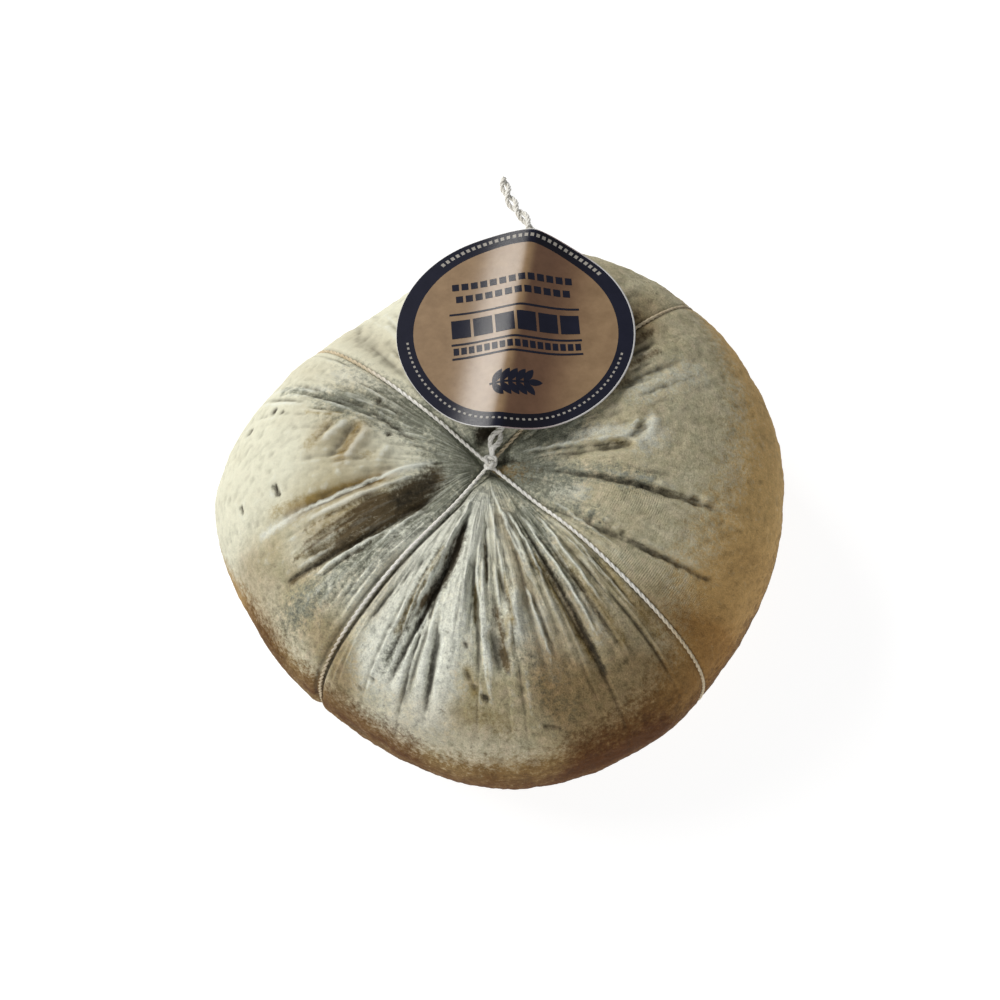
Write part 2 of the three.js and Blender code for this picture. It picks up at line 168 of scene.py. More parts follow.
# Narrow sharp ridges and grooves that only the finish has, in the same terms. A negative depth
# makes a ridge.
CREASES = (
    # Left side: the wall of the deep valley, the ribs beside it, and lines across the bulge.
    (181, 18, 196.5, 86, 1, -1.2), (192, 38, 196, 66, 0.6, 0.9), (213, 44, 209, 87, 0.9, 1.7, 1),
    (216, 48, 213, 76, 0.9, -1.2), (217, 52, 214, 78, 0.7, 1), (206, 50, 205, 70, 0.6, 0.7),
    (211, 58, 207, 78, 0.5, 0.6), (217, 28, 219, 54, 0.9, -0.9), (223, 60, 224, 76, 0.7, 0.9),
    (168, 24, 157, 60, 0.7, 1, -2), (157, 58, 161, 76, 0.6, 0.5), (153, 62, 157, 92, 0.9, -0.6),
    (154, 48, 158, 78, 0.6, 0.7), (150, 40, 152, 70, 0.6, 0.6), (174, 16, 168, 28, 0.7, 0.8),
    (165, 59, 176, 65, 0.9, 0.6), (163, 48, 181, 53, 0.9, 0.7), (180, 51, 186, 54, 0.7, 0.7),
    # Front, left of the middle: a tall rib over a steep valley that ends in fingers.
    (249, 13, 243.5, 72, 0.7, -2.2, 1.8), (252.5, 18, 245.6, 66, 1.5, 2.6, 1.8),
    (247, 36, 243, 62, 0.5, 0.7, 1), (246, 56, 242, 84, 1, 1.3), (247, 58, 243.5, 86, 0.6, -0.9),
    (248, 60, 244.5, 88, 0.9, 1.3), (249, 60, 246, 86, 0.6, -1), (250, 58, 247.5, 80, 1.1, 1.8),
    (247.5, 78, 248.5, 93, 0.8, 1), (251.5, 62, 250.5, 88, 0.7, -0.8), (253, 60, 254, 93, 0.7, 1.5),
    (255, 64, 256, 90, 0.8, -0.6), (240, 30, 236, 70, 0.6, 0.6), (234, 34, 234, 76, 0.6, 0.5),
    (237, 44, 233, 80, 0.5, 0.6),
    # Front, middle.
    (266, 20, 268.5, 50, 0.7, 1.4), (265, 12, 275, 50, 0.7, -0.9, 0.8), (262, 38, 264.5, 64, 0.8, 1.3),
    (263.5, 42, 268.5, 88, 0.6, -1.2), (270, 28, 271, 56, 0.5, -0.6), (273.5, 34, 275, 56, 0.8, 1),
    (268, 6, 287, 56, 0.7, -1, -0.8), (271, 10, 281, 26, 0.7, 0.9), (277, 34, 279, 56, 0.9, 1.2),
    (271, 66, 274, 78, 1.4, 1.6), (278, 56, 278, 68, 0.9, -1), (283.6, 50, 285, 80, 0.7, -1.1),
    (285.2, 52, 286.4, 78, 0.6, 0.8),
    # Front, right of the middle.
    (281, 18, 287, 50, 0.8, -1.1, 0.5), (286, 20, 291, 56, 0.7, -1.3, 0.8),
    (292, 22, 296.6, 90, 0.8, 2.1, 0.5), (296.5, 24, 298.6, 80, 0.8, -1.7, 0.5),
    (308, 26, 305, 70, 0.8, -1.6, -0.5), (310.2, 40, 311.5, 62, 0.6, -1),
    (302.6, 50, 301.2, 78, 0.7, 1), (302.5, 60, 301, 82, 0.5, -0.8), (309, 42, 308, 64, 0.6, 1.1),
    (314, 30, 311.5, 80, 0.6, -1), (315, 50, 312, 74, 0.7, 1.2), (311, 34, 310, 58, 0.5, -0.6),
    (324, 26, 322, 60, 0.6, -0.9), (325.5, 40, 327, 64, 0.5, -0.6),
    # Right side: the hooked fold and small ones under it.
    (22, 11, 9, 42, 0.8, -0.9), (9, 38, 9.2, 51, 0.9, -1), (9.6, 49.6, 17, 55.5, 0.9, -1.1),
    (17, 12, 6.6, 40, 0.7, 0.9), (6.6, 36, 6.8, 51, 0.7, 1.2), (6.6, 49, 15.5, 57.5, 0.6, 0.9),
    (4, 38, 4.4, 49, 0.7, 0.8), (24, 56, 26, 80, 0.6, 0.6), (46, 54, 47.5, 84, 0.7, 0.9),
    (42, 54, 42.5, 80, 0.7, 0.9), (38, 52, 38.5, 78, 0.7, -0.7), (35, 50, 34.5, 74, 0.7, 0.9),
    (30, 52, 29, 72, 0.6, 0.6), (18, 50, 22, 66, 0.6, -0.5),
)

# The long folds on the right are ragged along their edge.
RAGGED_FOLDS = (
    (323, 28, 331, 88, 0.8, 1.1, -1.8), (352, 18, 348, 88, 0.8, 1.3, -0.6),
)

# Small marks that only the finish has: pits at the knot, a scar, nicks and lumps.
MARKS = (
    (104, 9, 86, 14, 2.6, 4), (30, 4, 14, 7, 1.5, 1.4), (185.6, 78.7, 188.4, 77.6, 0.7, 1.3),
    (187, 92.3, 188.6, 91.8, 0.5, 0.8), (162, 84.5, 163, 85, 0.8, 1),
    (163, 80.5, 163.4, 80.9, 0.6, 0.8), (167, 92.5, 168, 93, 0.8, 0.9),
    (161, 66.3, 161.4, 66.4, 0.6, 0.7), (149.4, 46.8, 150, 47, 0.7, 1), (165, 36.6, 166, 37.4, 0.8, 1),
    (262, 70, 262.4, 70.4, 0.8, 1), (263, 79, 265, 83, 1, 0.9), (267, 85.5, 268, 86, 0.8, 1),
    (280, 95, 283, 96, 0.7, 0.9), (240, 88, 240.6, 88.4, 0.6, 0.9), (238, 92, 238.4, 92.3, 0.6, 0.8),
    (349.2, 39.6, 349, 41, 1, 1.3), (349.1, 49.4, 349, 50.6, 0.9, 1.1),
    (348.9, 54.6, 348.7, 57, 1.1, 1.6), (348.8, 61.6, 348.5, 63.6, 1.1, 1.4),
    (349.3, 72.4, 349.1, 74, 0.9, 0.9), (348.8, 77.2, 348.6, 78.6, 0.7, 0.6),
    (351, 60.5, 350.6, 61.5, 0.9, -1.2), (350, 76, 349.8, 77, 0.8, -1.1),
    (327.4, 51, 327.8, 52, 0.9, -1.2), (328.4, 47, 328.8, 48, 0.9, -1),
    (328, 53.8, 328.2, 54.6, 0.7, 1.1), (328.3, 65, 328.4, 67, 1, 1.3),
    (331, 84.6, 331.6, 85.4, 0.7, 0.6), (326.4, 42, 326.8, 43, 0.8, 1), (329, 71, 329.2, 72, 0.8, 1),
    (5.2, 41, 5, 41.8, 0.7, 1.1), (5, 45, 5.2, 46.4, 0.7, 1.2), (5.6, 48.4, 5.6, 49, 0.7, 1),
    (352, 18, 348, 88, 2.4, -0.9, -1), (302, 62, 303, 82, 2, -0.9), (7, 52, 13.5, 60, 2, -1.3),
)

# Fine pleats that only the finish has, drawn at random in sectors: the azimuths, the distances at
# which they start, their lengths, how many, the half width and the depth.
FINE_PLEATS = (
    ((0, 360), (6, 16), (8, 26), 50, 0.6, 0.3),
    ((200, 228), (18, 60), (16, 44), 40, 0.5, 0.25),
    ((229, 262), (14, 60), (18, 50), 44, 0.5, 0.4),
    ((262, 314), (16, 64), (18, 50), 56, 0.5, 0.4),
    ((136, 166), (18, 70), (12, 34), 60, 0.6, 0.35),
    ((166, 200), (20, 60), (10, 24), 20, 0.7, 0.2),
    ((318, 400), (14, 60), (8, 24), 40, 0.7, 0.2),
    ((50, 136), (20, 80), (10, 24), 60, 0.8, 0.4),
)

# Where the rind is discoloured, as paths with a half width and a strength. First grey mould.
MOULD = (
    (346, 9, 340, 30, 4.5, 0.5), (60, 4, 200, 12, 15, 0.42), (150, 12, 157, 60, 8, 0.8, -3),
    (155, 56, 156, 84, 2.6, 0.5), (140, 30, 142, 70, 5, 0.3), (200, 12, 209, 50, 7, 0.7, 2),
    (217, 56, 216, 88, 6.5, 0.65, 2), (224, 24, 222, 60, 4, 0.4), (246, 40, 243, 84, 3, 0.4),
    (301, 24, 301, 56, 3, 0.6), (306, 10, 300, 30, 7, 0.4), (326, 12, 326, 44, 5, 0.45),
    (284, 22, 288.5, 46, 2.2, 0.6), (289.5, 24, 294, 52, 2, 0.55), (352, 8, 350, 56, 4, 0.55),
    (14, 8, 30, 30, 7, 0.8), (30, 30, 42, 50, 7, 0.5), (278, 74, 284, 92, 7, 0.25),
)

# Pale bloom on bulges and ridges.
BLOOM = (
    (259, 16, 257, 90, 7, 0.9), (236, 40, 238, 80, 8, 0.35), (218, 36, 217, 62, 4, 0.7, 1),
    (222, 30, 226, 70, 4, 0.5), (184, 20, 196.5, 86, 1.6, 0.9), (240, 28, 240, 84, 8, 0.85),
    (250, 70, 249, 94, 7, 0.5), (276, 30, 277, 66, 3, 0.3), (301, 34, 300, 74, 4, 0.4),
    (284, 60, 284, 80, 6, 0.3), (26, 60, 28, 80, 7, 0.35), (8, 56, 15, 59, 2, 0.5),
    (148, 24, 146, 66, 5, 0.5, -2), (276, 54, 278, 68, 2.4, 0.6), (332, 26, 336, 34, 4, 0.7),
    (14, 26, 11, 50, 3, 0.6, 1.5), (4, 54, 9, 60, 5, 0.4), (247, 68, 245, 86, 3, 0.6),
    (255, 72, 254, 92, 4, 0.5), (153, 64, 156, 90, 1.4, 0.6),
)

# Olive places on the left and low down at the front.
OLIVE = (
    (256, 86, 278, 88, 9, 0.4), (158, 56, 190, 60, 11, 0.6), (190, 40, 197, 80, 8, 0.5),
    (238, 36, 236, 74, 6, 0.35), (258, 88, 286, 94, 12, 0.7), (203, 86, 234, 92, 8, 0.85),
    (212, 72, 216, 86, 7, 0.5), (228, 84, 240, 90, 8, 0.5),
)

# Ochre in dents and along folds.
OCHRE = (
    (260, 90, 272, 94, 4, 0.35), (167, 61, 175, 66, 2.4, 0.45), (165, 49, 180, 54, 2.4, 0.6),
    (163, 70, 162, 58, 1.2, 0.6), (180, 46, 180, 42, 2, 0.4), (192.5, 40, 193.5, 66, 1.7, 1.1),
    (193.5, 66, 192.5, 80, 2.4, 0.5), (202, 40, 203, 68, 3.6, 0.5), (206, 56, 206, 78, 1.6, 0.4, 3),
    (246, 40, 242, 72, 1.6, 0.6), (263.6, 50, 264.8, 62, 0.8, 0.9), (275, 46, 277, 62, 1.6, 0.6),
    (275, 62, 274, 72, 1.6, 0.7), (263, 78, 265, 84, 2, 0.6), (291, 42, 295, 80, 1.6, 0.7),
    (302, 44, 304, 80, 2, 0.5), (314, 56, 312, 84, 3, 0.5), (8, 44, 5, 50, 1.6, 0.5),
    (64, 52, 50, 74, 5, 0.5),
)

# Brown stains in the deeper folds, darkened partly as painted shade where the folds fall into shade.
STAIN_AND_SHADE = (
    (199, 20, 207, 46, 4.2, 0.9, 2), (204, 46, 208, 72, 3, 0.45, 1), (48, 54, 50, 82, 1.8, 0.65),
    (42.6, 54, 43.4, 80, 1.5, 0.7), (36, 50, 37, 74, 1.6, 0.7), (30, 44, 32, 58, 2, 0.6),
    (209, 56, 210, 84, 1.6, 0.7, 1.5), (252, 34, 246, 60, 2.2, 0.9, 1.8), (246, 58, 243, 74, 1.2, 0.4),
    (267, 34, 268.5, 48, 0.7, 0.8), (295, 44, 296, 80, 1.2, 0.8), (302.6, 54, 301.6, 76, 0.8, 0.4),
    (207, 30, 212.5, 62, 4, 0.75), (202.5, 40, 204.5, 74, 0.7, 0.6), (205, 46, 206.3, 80, 0.6, 0.6),
    (199.5, 44, 201.5, 72, 0.5, 0.5), (271.5, 58, 273.6, 78, 1.4, 0.8), (272, 72, 273, 76, 1.2, 0.8),
)

# Rusty places along the rim at the front, darkened partly as painted shade where the side turns away
# from the lamps.
RUST_AND_SHADE = (
    (226, 101, 252, 102, 5, 0.4), (286, 106, 302, 105, 8, 0.7), (206, 101, 226, 102, 4, 0.35),
)

# Places where the rind is darker and browner: partly a browner colour, partly painted shade in dents,
# low on the side and beside the label's right edge.
TINT_AND_SHADE = (
    (166, 60, 176, 64, 4, 0.25), (165, 48, 181, 53, 4, 0.45), (164, 74, 180, 42, 7, 0.15),
    (192, 36, 195, 74, 3.4, 0.6), (230, 52, 232, 70, 4, 0.35), (128, 54, 132, 80, 8, 0.3),
    (201, 46, 203, 72, 4.5, 0.3), (200, 95, 216, 100, 7, 0.65), (250, 96, 270, 98, 9, 0.35),
    (288, 96, 300, 98, 9, 0.35), (284, 88, 299, 97, 9, 0.8), (314, 78, 322, 96, 6, 0.4),
    (302, 86, 316, 100, 9, 0.4), (300, 66, 308, 104, 12, 0.4), (287, 70, 292, 104, 11, 0.4),
    (318, 74, 324, 104, 10, 0.5), (288, 20, 293, 50, 4, 0.15), (282, 24, 284, 56, 3.5, 0.55),
    (46, 50, 51, 88, 7, 0.6), (332, 90, 342, 94, 8, 0.25), (222, 90, 234, 92, 6, 0.3),
    (283, 78, 289, 90, 8, 0.55), (226, 82, 234, 96, 7, 0.35), (146, 44, 148, 94, 9, 0.2),
    (40, 54, 46, 80, 6, 0.6),
)

# Painted shade: the darkest lines and spots beside the knot, in sharp folds, pits and nicks, with the
# label's shadow painted into the pit beside the cord.
PAINTED_SHADE = (
    (104, 12, 84, 12, 2, 1.7), (35, 4, 10, 8, 2.2, 0.4), (272, 1.5, 272, 4, 1.8, 0.6),
    (201.5, 22, 207.5, 36, 3.2, 0.75, 0.5), (293, 34, 296.4, 86, 0.8, 0.7, 0.5),
    (6.8, 38, 6.8, 50, 0.4, 0.4), (249.5, 24, 247, 60, 1, 0.5, 2.8), (210, 58, 209, 84, 0.7, 0.5, 2),
    (252.5, 30, 247, 66, 1.9, 0.65, 1.8), (247, 66, 245.5, 82, 1, 0.4),
    (349.5, 40, 348.8, 74, 0.5, 0.5), (328, 58, 329.6, 78, 0.5, 0.3), (253, 74, 254, 90, 0.6, 0.5),
    (185.6, 78.7, 188.4, 77.6, 0.8, 0.9), (187, 92.3, 188.6, 91.8, 0.5, 0.6),
    (162, 84.5, 162.6, 84.8, 0.8, 0.8), (163, 80.5, 163.3, 80.7, 0.6, 0.6),
    (167, 92.5, 167.6, 92.8, 0.8, 0.5), (149.4, 46.8, 150, 47, 0.8, 0.8),
    (165, 36.6, 166, 37.4, 1, 0.8), (267, 85.5, 268, 86, 0.9, 0.7), (262, 70, 262.4, 70.4, 0.8, 0.5),
    (54, 26, 44, 44, 4, 0.4),
)

# Places on the left that are finely creased, besides the front.
STREAKS = (
    (215, 12, 217, 76, 8, 0.5), (198, 14, 206, 70, 5, 0.4, 1.5), (152, 14, 154, 74, 7, 0.6, -1),
)

# Places where the weave of the cloth shows most.
WEAVE = (
    (334, 26, 343, 58, 7, 0.5), (319, 60, 325, 84, 6, 1), (216, 26, 217, 60, 4, 0.5),
)

# Uneven relief all over the rind: the size of its lumps and their height.
LUMPS = ((55, 0.35), (17, 0.2), (5, 0.1), (2.6, 0.08))
LUMP_WAVES = 28

# A ridge among the creases that is at least this high gets a painted highlight along its top.
SHARP_RIDGE = 0.9

# How finely the rind is meshed: columns between strings, from the back right one round, and rings.
QUARTER_COLUMNS = (96, 190, 230, 144)
TOP_RINGS = 114
BASE_RINGS = 30

# Points lower than this lie on the floor.
FLOOR_REACH = 0.05

# The camera looks down on the cheese from the front.
CAMERA_TARGET = Vector((-0.36, 3.36, 45)) * MM
CAMERA_DISTANCE = 0.95
CAMERA_ELEVATION = math.radians(66)
CAMERA_LENS = 92.34
CAMERA_SENSOR = 36
FLOOR_SIZE = 6


def bell(distance, half_width):
    return np.exp(-((distance / half_width) ** 2))


def smooth_step(value, start, end):
    t = np.clip((value - start) / (end - start), 0, 1)
    return t * t * (3 - 2 * t)


def facing(azimuth, direction, start, end):
    """Rises from 0 to 1 where the side faces a direction in degrees, between two cosines."""
    return smooth_step(np.cos(azimuth - math.radians(direction)), start, end)


def polar(azimuth_degrees, distance):
    azimuth = math.radians(azimuth_degrees)
    return np.array([distance * math.cos(azimuth), distance * math.sin(azimuth)])


def outline_radius(azimuth):
    """Smooth closed curve through the outline's radii."""
    radii = np.array(OUTLINE_RADII, float)
    place = np.mod(azimuth, FULL_TURN) / FULL_TURN * len(radii)
    index = np.floor(place).astype(int)
    t = place - index
    a, b, c, d = (radii[(index + k) % len(radii)] for k in (-1, 0, 1, 2))
    return b + 0.5 * t * (c - a + t * (2 * a - 5 * b + 4 * c - d + t * (3 * (b - c) + d - a)))


def power_at(down):
    return 2 / np.where(down <= 0.5, TOP_FULLNESS, BASE_FULLNESS)


def radius_at(azimuth, down):
    return outline_radius(azimuth) * np.abs(np.sin(math.pi * down)) ** power_at(down)


def girth_share(down):
    """How wide the cheese is, from 0 at the knot to 1 at the girth, as a square root."""
    return np.sqrt(np.abs(np.sin(math.pi * down)))


def from_above(azimuth, down):
    """A place as seen from above, with the knot at 0, 0."""
    radius = radius_at(azimuth, down)
    return radius * np.cos(azimuth), radius * np.sin(azimuth)


def plain_point(azimuth, down):
    """The cheese without its folds. Down is 0 at the knot, 0.5 at the girth and 1 under the base."""
    radius = radius_at(azimuth, down)
    lift = np.abs(np.cos(math.pi * down)) ** power_at(down)
    shift = 1 - smooth_step(down, 0, 0.5)
    top = GIRTH_HEIGHT + (SHOULDER_HEIGHT - GIRTH_HEIGHT) * lift
    top = top - DIMPLE_DEPTH * bell(radius, DIMPLE_RADIUS)
    top = top - KNOT_PIT_DEPTH * bell(radius, KNOT_PIT_RADIUS)
    base = GIRTH_HEIGHT - (GIRTH_HEIGHT + BASE_FLATTENING) * lift
    x = KNOT_PLACE[0] * shift + radius * np.cos(azimuth)
    y = KNOT_PLACE[1] * shift + radius * np.sin(azimuth)
    z = np.maximum(np.where(down <= 0.5, top, base), 0)
    return np.stack([x, y, z], axis=-1)


def plain_normal(azimuth, down):
    step = 0.001
    across = plain_point(azimuth + step, down) - plain_point(azimuth - step, down)
    along = plain_point(azimuth, down + step) - plain_point(azimuth, down - step)
    normal = np.cross(along, across)
    return normal / np.maximum(np.linalg.norm(normal, axis=-1, keepdims=True), 1e-12)


def drawn_in(azimuth, down, relief):
    """Points of the rind, drawn in by the relief. The lowest lie on the floor."""
    points = plain_point(azimuth, down) - plain_normal(azimuth, down) * relief[..., None]
    points[..., 2] = np.where(points[..., 2] < FLOOR_REACH, 0, points[..., 2])
    return points


def string_azimuth(string, down):
    direction, turn = STRINGS[string]
    return np.radians(direction + turn * np.exp(-down / STRING_TURN_SHARE))


def off_string(string, azimuth, down):
    """Distance along the rind between a place and a string, across the string."""
    turn = np.mod(azimuth - string_azimuth(string, down) + math.pi, FULL_TURN) - math.pi
    return turn * radius_at(azimuth, down)


def groove_depth(down):
    return GROOVE_TOP_DEPTH + (GROOVE_BASE_DEPTH - GROOVE_TOP_DEPTH) * smooth_step(down, 0.4, 0.75)


def fold_path(first, last, bow=0):
    """A fold's path between two places as seen from above, in ten steps."""
    along = (last - first) / np.linalg.norm(last - first)
    middle = (first + last) / 2 + 2 * bow * np.array([-along[1], along[0]])
    t = np.linspace(0, 1, 11)[:, None]
    return (1 - t) ** 2 * first + 2 * t * (1 - t) * middle + t**2 * last


def along_path(path, x, y):
    """Distance of places from a path, positive on its left, and their share of the way along it."""
    nearest = np.full(x.shape, np.inf)
    side = np.ones(x.shape)
    share = np.zeros(x.shape)
    for i in range(len(path) - 1):
        step = path[i + 1] - path[i]
        from_x, from_y = x - path[i][0], y - path[i][1]
        t = np.clip((from_x * step[0] + from_y * step[1]) / (step @ step), 0, 1)
        distance = np.hypot(from_x - t * step[0], from_y - t * step[1])
        closer = distance < nearest
        nearest[closer] = distance[closer]
        side[closer] = np.sign(step[0] * from_y - step[1] * from_x)[closer]
        share[closer] = (i + t[closer]) / (len(path) - 1)
    return nearest * side, share


def add_along(folds, x, y, profile):
    """Sum over folds of profile(distance, share, half width, size) at places near each fold."""
    total = np.zeros(x.shape)
    for first_azimuth, first, last_azimuth, last, half_width, size, *bow in folds:
        path = fold_path(polar(first_azimuth, first), polar(last_azimuth, last), *bow)
        reach = 3.5 * half_width
        low, high = path.min(0) - reach, path.max(0) + reach
        near = (x > low[0]) & (x < high[0]) & (y > low[1]) & (y < high[1])
        if near.any():
            distance, share = along_path(path, x[near], y[near])
            total[near] += profile(distance, share, half_width, size)
    return total


def taper(share, start, end):
    """Rises from 0 at the start of a path and falls to 0 at its end, at the given rates."""
    return np.clip(np.minimum(start * share, end * (1 - share)), 0, 1)


def plain_fold_profile(distance, share, half_width, depth):
    """A fold as the solids have it. It starts quickly and dies away slowly."""
    return depth * taper(share, 5, 2.5) * bell(distance, half_width)


def fold_profile(distance, share, half_width, depth):
    """A fold with a crease along its middle, which the solids' facets are too coarse for."""
    crease = np.exp(-np.abs(distance) / (0.3 * half_width))
    return depth * taper(share, 5, 2.5) * (0.75 * bell(distance, half_width) + 0.35 * crease)


def pleat_profile(distance, share, half_width, depth):
    """A sharp narrow ridge with a groove close on its right."""
    ridge = np.exp(-np.abs(distance - 0.7 * half_width) / (0.9 * half_width))
    groove = bell(distance + 0.9 * half_width, half_width)
    return depth * taper(share, 6, 3) * (groove - ridge)


def wander(share, seed):
    """How far a crease strays from its path. The seed makes each crease stray otherwise."""
    slow = np.sin(29 * share + 2 * np.sin(9 * share + 40 * seed) + 70 * seed)
    return 0.22 * slow + 0.12 * np.sin(83 * share + 3 * np.sin(17 * share) + 90 * seed)


def crease_profile(distance, share, half_width, depth):
    """A narrow sharp groove or ridge that runs a little unevenly."""
    off = np.abs(distance + wander(share, depth))
    return depth * taper(share, 5, 4) * np.exp(-off / half_width)


def soft_profile(distance, share, half_width, depth):
    """A mark or a patch of colour that is the same along its path."""
    return depth * bell(distance, half_width)


def ragged_profile(distance, share, half_width, depth):
    """A thin uneven groove under a low lip."""
    ragged = np.sin(41 * share + 3 * np.sin(7 * share))
    ragged += 0.8 * np.sin(97 * share + 4 * np.sin(13 * share))
    edge = distance - 0.28 * ragged
    uneven = 0.75 + 0.25 * np.sin(67 * share + 2 * np.sin(23 * share))
    groove = np.exp(-np.abs(edge) / half_width) * uneven
    lip = 0.45 * bell(edge + 1.8 * half_width, 1.3 * half_width)
    return depth * taper(share, 3, 5) * (groove - lip)


def random_pleats():
    rng = np.random.default_rng(7)
    pleats = []
    for azimuths, starts, lengths, count, half_width, depth in FINE_PLEATS:
        for _ in range(count):
            azimuth = rng.uniform(*azimuths)
            start = rng.uniform(*starts)
            end = start + rng.uniform(*lengths)
            lean = rng.normal(0, 60 / end)
            size = depth * rng.uniform(0.3, 1.5)
            width = half_width * rng.uniform(0.7, 1.5) * (0.7 + end / 130)
            bow = rng.normal(0, 0.6)
            pleats.append((azimuth, start, azimuth + lean, end, width, size, bow))
    return pleats


def lumps(points, size, seed):
    """Smooth random numbers, mostly from -1 to 1, with lumps of about the given size."""
    rng = np.random.default_rng(seed)
    directions = rng.normal(size=(LUMP_WAVES, 3))
    directions /= np.linalg.norm(directions, axis=1, keepdims=True)
    rates = FULL_TURN / size * rng.uniform(0.6, 1.5, LUMP_WAVES)
    phases = rng.uniform(0, FULL_TURN, LUMP_WAVES)
    total = np.zeros(points.shape[:-1])
    for direction, rate, phase in zip(directions, rates, phases):
        total += np.cos(points @ (direction * rate) + phase)
    return total * math.sqrt(1 / LUMP_WAVES)


def string_distance(azimuth, down):
    return np.min([np.abs(off_string(string, azimuth, down)) for string in STRINGS], axis=0)


def groove_filling(azimuth, down):
    """How much shallower than in the solids the strings' grooves and valleys are at the side."""
    side = smooth_step(down, 0.16, 0.36) * (1 - smooth_step(down, 0.7, 0.9))
    return (0.3 + 0.35 * facing(azimuth, 0, 0.3, 0.6)) * side, 0.85 * side


def rind_relief(azimuth, down):
    """How far the strings, the folds and the marks draw the rind in."""
    off = string_distance(azimuth, down)
    radius = radius_at(azimuth, down)
    less_groove, less_valley = groove_filling(azimuth, down)
    total = (1 - less_groove) * groove_depth(down) * bell(off, GROOVE_BELL)
    total += (1 - less_valley) * VALLEY_DEPTH * girth_share(down) * bell(off, VALLEY_HALF_WIDTH)
    hollow = CROSSING_HOLLOW_DEPTH * bell(radius, CROSSING_HOLLOW_RADIUS)
    on_top = down <= 0.5
    # A narrow gap lies beside one of the strings, and farther out on both its sides.
    beside = off_string("front left", azimuth, down)
    total += np.where(on_top, 1.6 * bell(beside - 1.5, 1) * smooth_step(radius, 10, 20), 0)
    total += np.where(on_top, 0.9 * bell(beside + 1.6, 0.8) * smooth_step(radius, 40, 55), 0)
    x, y = from_above(azimuth, down)
    folds = add_along(FOLDS, x, y, fold_profile)
    fine = add_along(random_pleats(), x, y, pleat_profile) * (1 - bell(off, 2.2))
    fine += add_along(CREASES, x, y, crease_profile)
    fine += add_along(RAGGED_FOLDS, x, y, ragged_profile)
    fine += add_along(MARKS, x, y, soft_profile)
    return total + np.where(on_top, folds + fine, hollow)


def rind_points(azimuth, down):
    points = plain_point(azimuth, down)
    relief = rind_relief(azimuth, down)
    clear = 1 - bell(string_distance(azimuth, down), 2.5)
    for seed, (size, height) in enumerate(LUMPS, 1):
        relief += height * clear * lumps(points, size, seed)
    return drawn_in(azimuth, down, relief), relief


def column_azimuths(down):
    """Azimuths of the columns in rings. A column lies on each string, and they crowd beside it."""
    names = list(STRINGS)
    columns = []
    for i, name in enumerate(names):
        t = np.arange(QUARTER_COLUMNS[i]) / QUARTER_COLUMNS[i]
        crowded = t - 0.25 * np.sin(FULL_TURN * t) / FULL_TURN
        here = string_azimuth(name, down)
        following = string_azimuth(names[(i + 1) % len(names)], down)
        following = np.where(following < here, following + FULL_TURN, following)
        columns.append(here[:, None] + (following - here)[:, None] * crowded)
    return np.concatenate(columns, axis=1)


def ring_places():
    top = 0.5 * (np.arange(1, TOP_RINGS + 1) / TOP_RINGS) ** 1.1
    base = 0.5 + 0.47 * np.arange(1, BASE_RINGS) / (BASE_RINGS - 1)
    return np.concatenate([top, base])


def blurred(values, rings, columns):
    """Mean over a window of rings and columns, closed round the columns."""
    total = np.zeros(values.shape)
    for shift in range(-columns, columns + 1):
        total += np.roll(values, shift, axis=1)
    total /= 2 * columns + 1
    padded = np.pad(total, ((rings, rings), (0, 0)), mode="edge")
    sums = [padded[i : i + len(values)] for i in range(2 * rings + 1)]
    return np.mean(sums, axis=0)


def to_frame(points):
    return (np.asarray(points, float) + FRAME_SHIFT) * MM


def closed_rings(top, rings, bottom):
    """Vertices and faces of rings of points, closed to a point at either end."""
    count, columns = rings.shape[:2]
    vertices = np.concatenate([[top], rings.reshape(-1, 3), [bottom]])
    at = 1 + np.arange(count * columns).reshape(count, columns)
    beside = np.roll(at, -1, axis=1)
    quads = np.stack([at[:-1], at[1:], beside[1:], beside[:-1]], axis=-1)
    faces = quads.reshape(-1, 4).tolist()
    last = len(vertices) - 1
    faces += [(0, a, b) for a, b in zip(at[0].tolist(), beside[0].tolist())]
    faces += [(last, b, a) for a, b in zip(at[-1].tolist(), beside[-1].tolist())]
    return vertices, faces


def mesh_object(name, points, faces, materials, indices=None):
    mesh = bpy.data.meshes.new(name)
    mesh.from_pydata(to_frame(points).tolist(), [], faces)
    for material in materials:
        mesh.materials.append(material)
    if indices is not None:
        mesh.polygons.foreach_set("material_index", indices)
    mesh.polygons.foreach_set("use_smooth", [True] * len(mesh.polygons))
    mesh.update()
    piece = bpy.data.objects.new(name, mesh)
    bpy.context.scene.collection.objects.link(piece)
    return piece


def add_mask(piece, name, values):
    layer = piece.data.attributes.new(name, "FLOAT", "POINT")
    layer.data.foreach_set("value", np.asarray(values, np.float32))


def make_camera():
    camera = bpy.data.objects.new("camera", bpy.data.cameras.new("camera"))
    camera.data.lens = CAMERA_LENS
    camera.data.sensor_width = CAMERA_SENSOR
    back = Vector((0, -math.cos(CAMERA_ELEVATION), math.sin(CAMERA_ELEVATION)))
    camera.location = CAMERA_TARGET + CAMERA_DISTANCE * back
    camera.rotation_euler = (math.pi / 2 - CAMERA_ELEVATION, 0, 0)
    bpy.context.scene.collection.objects.link(camera)
    bpy.context.scene.camera = camera


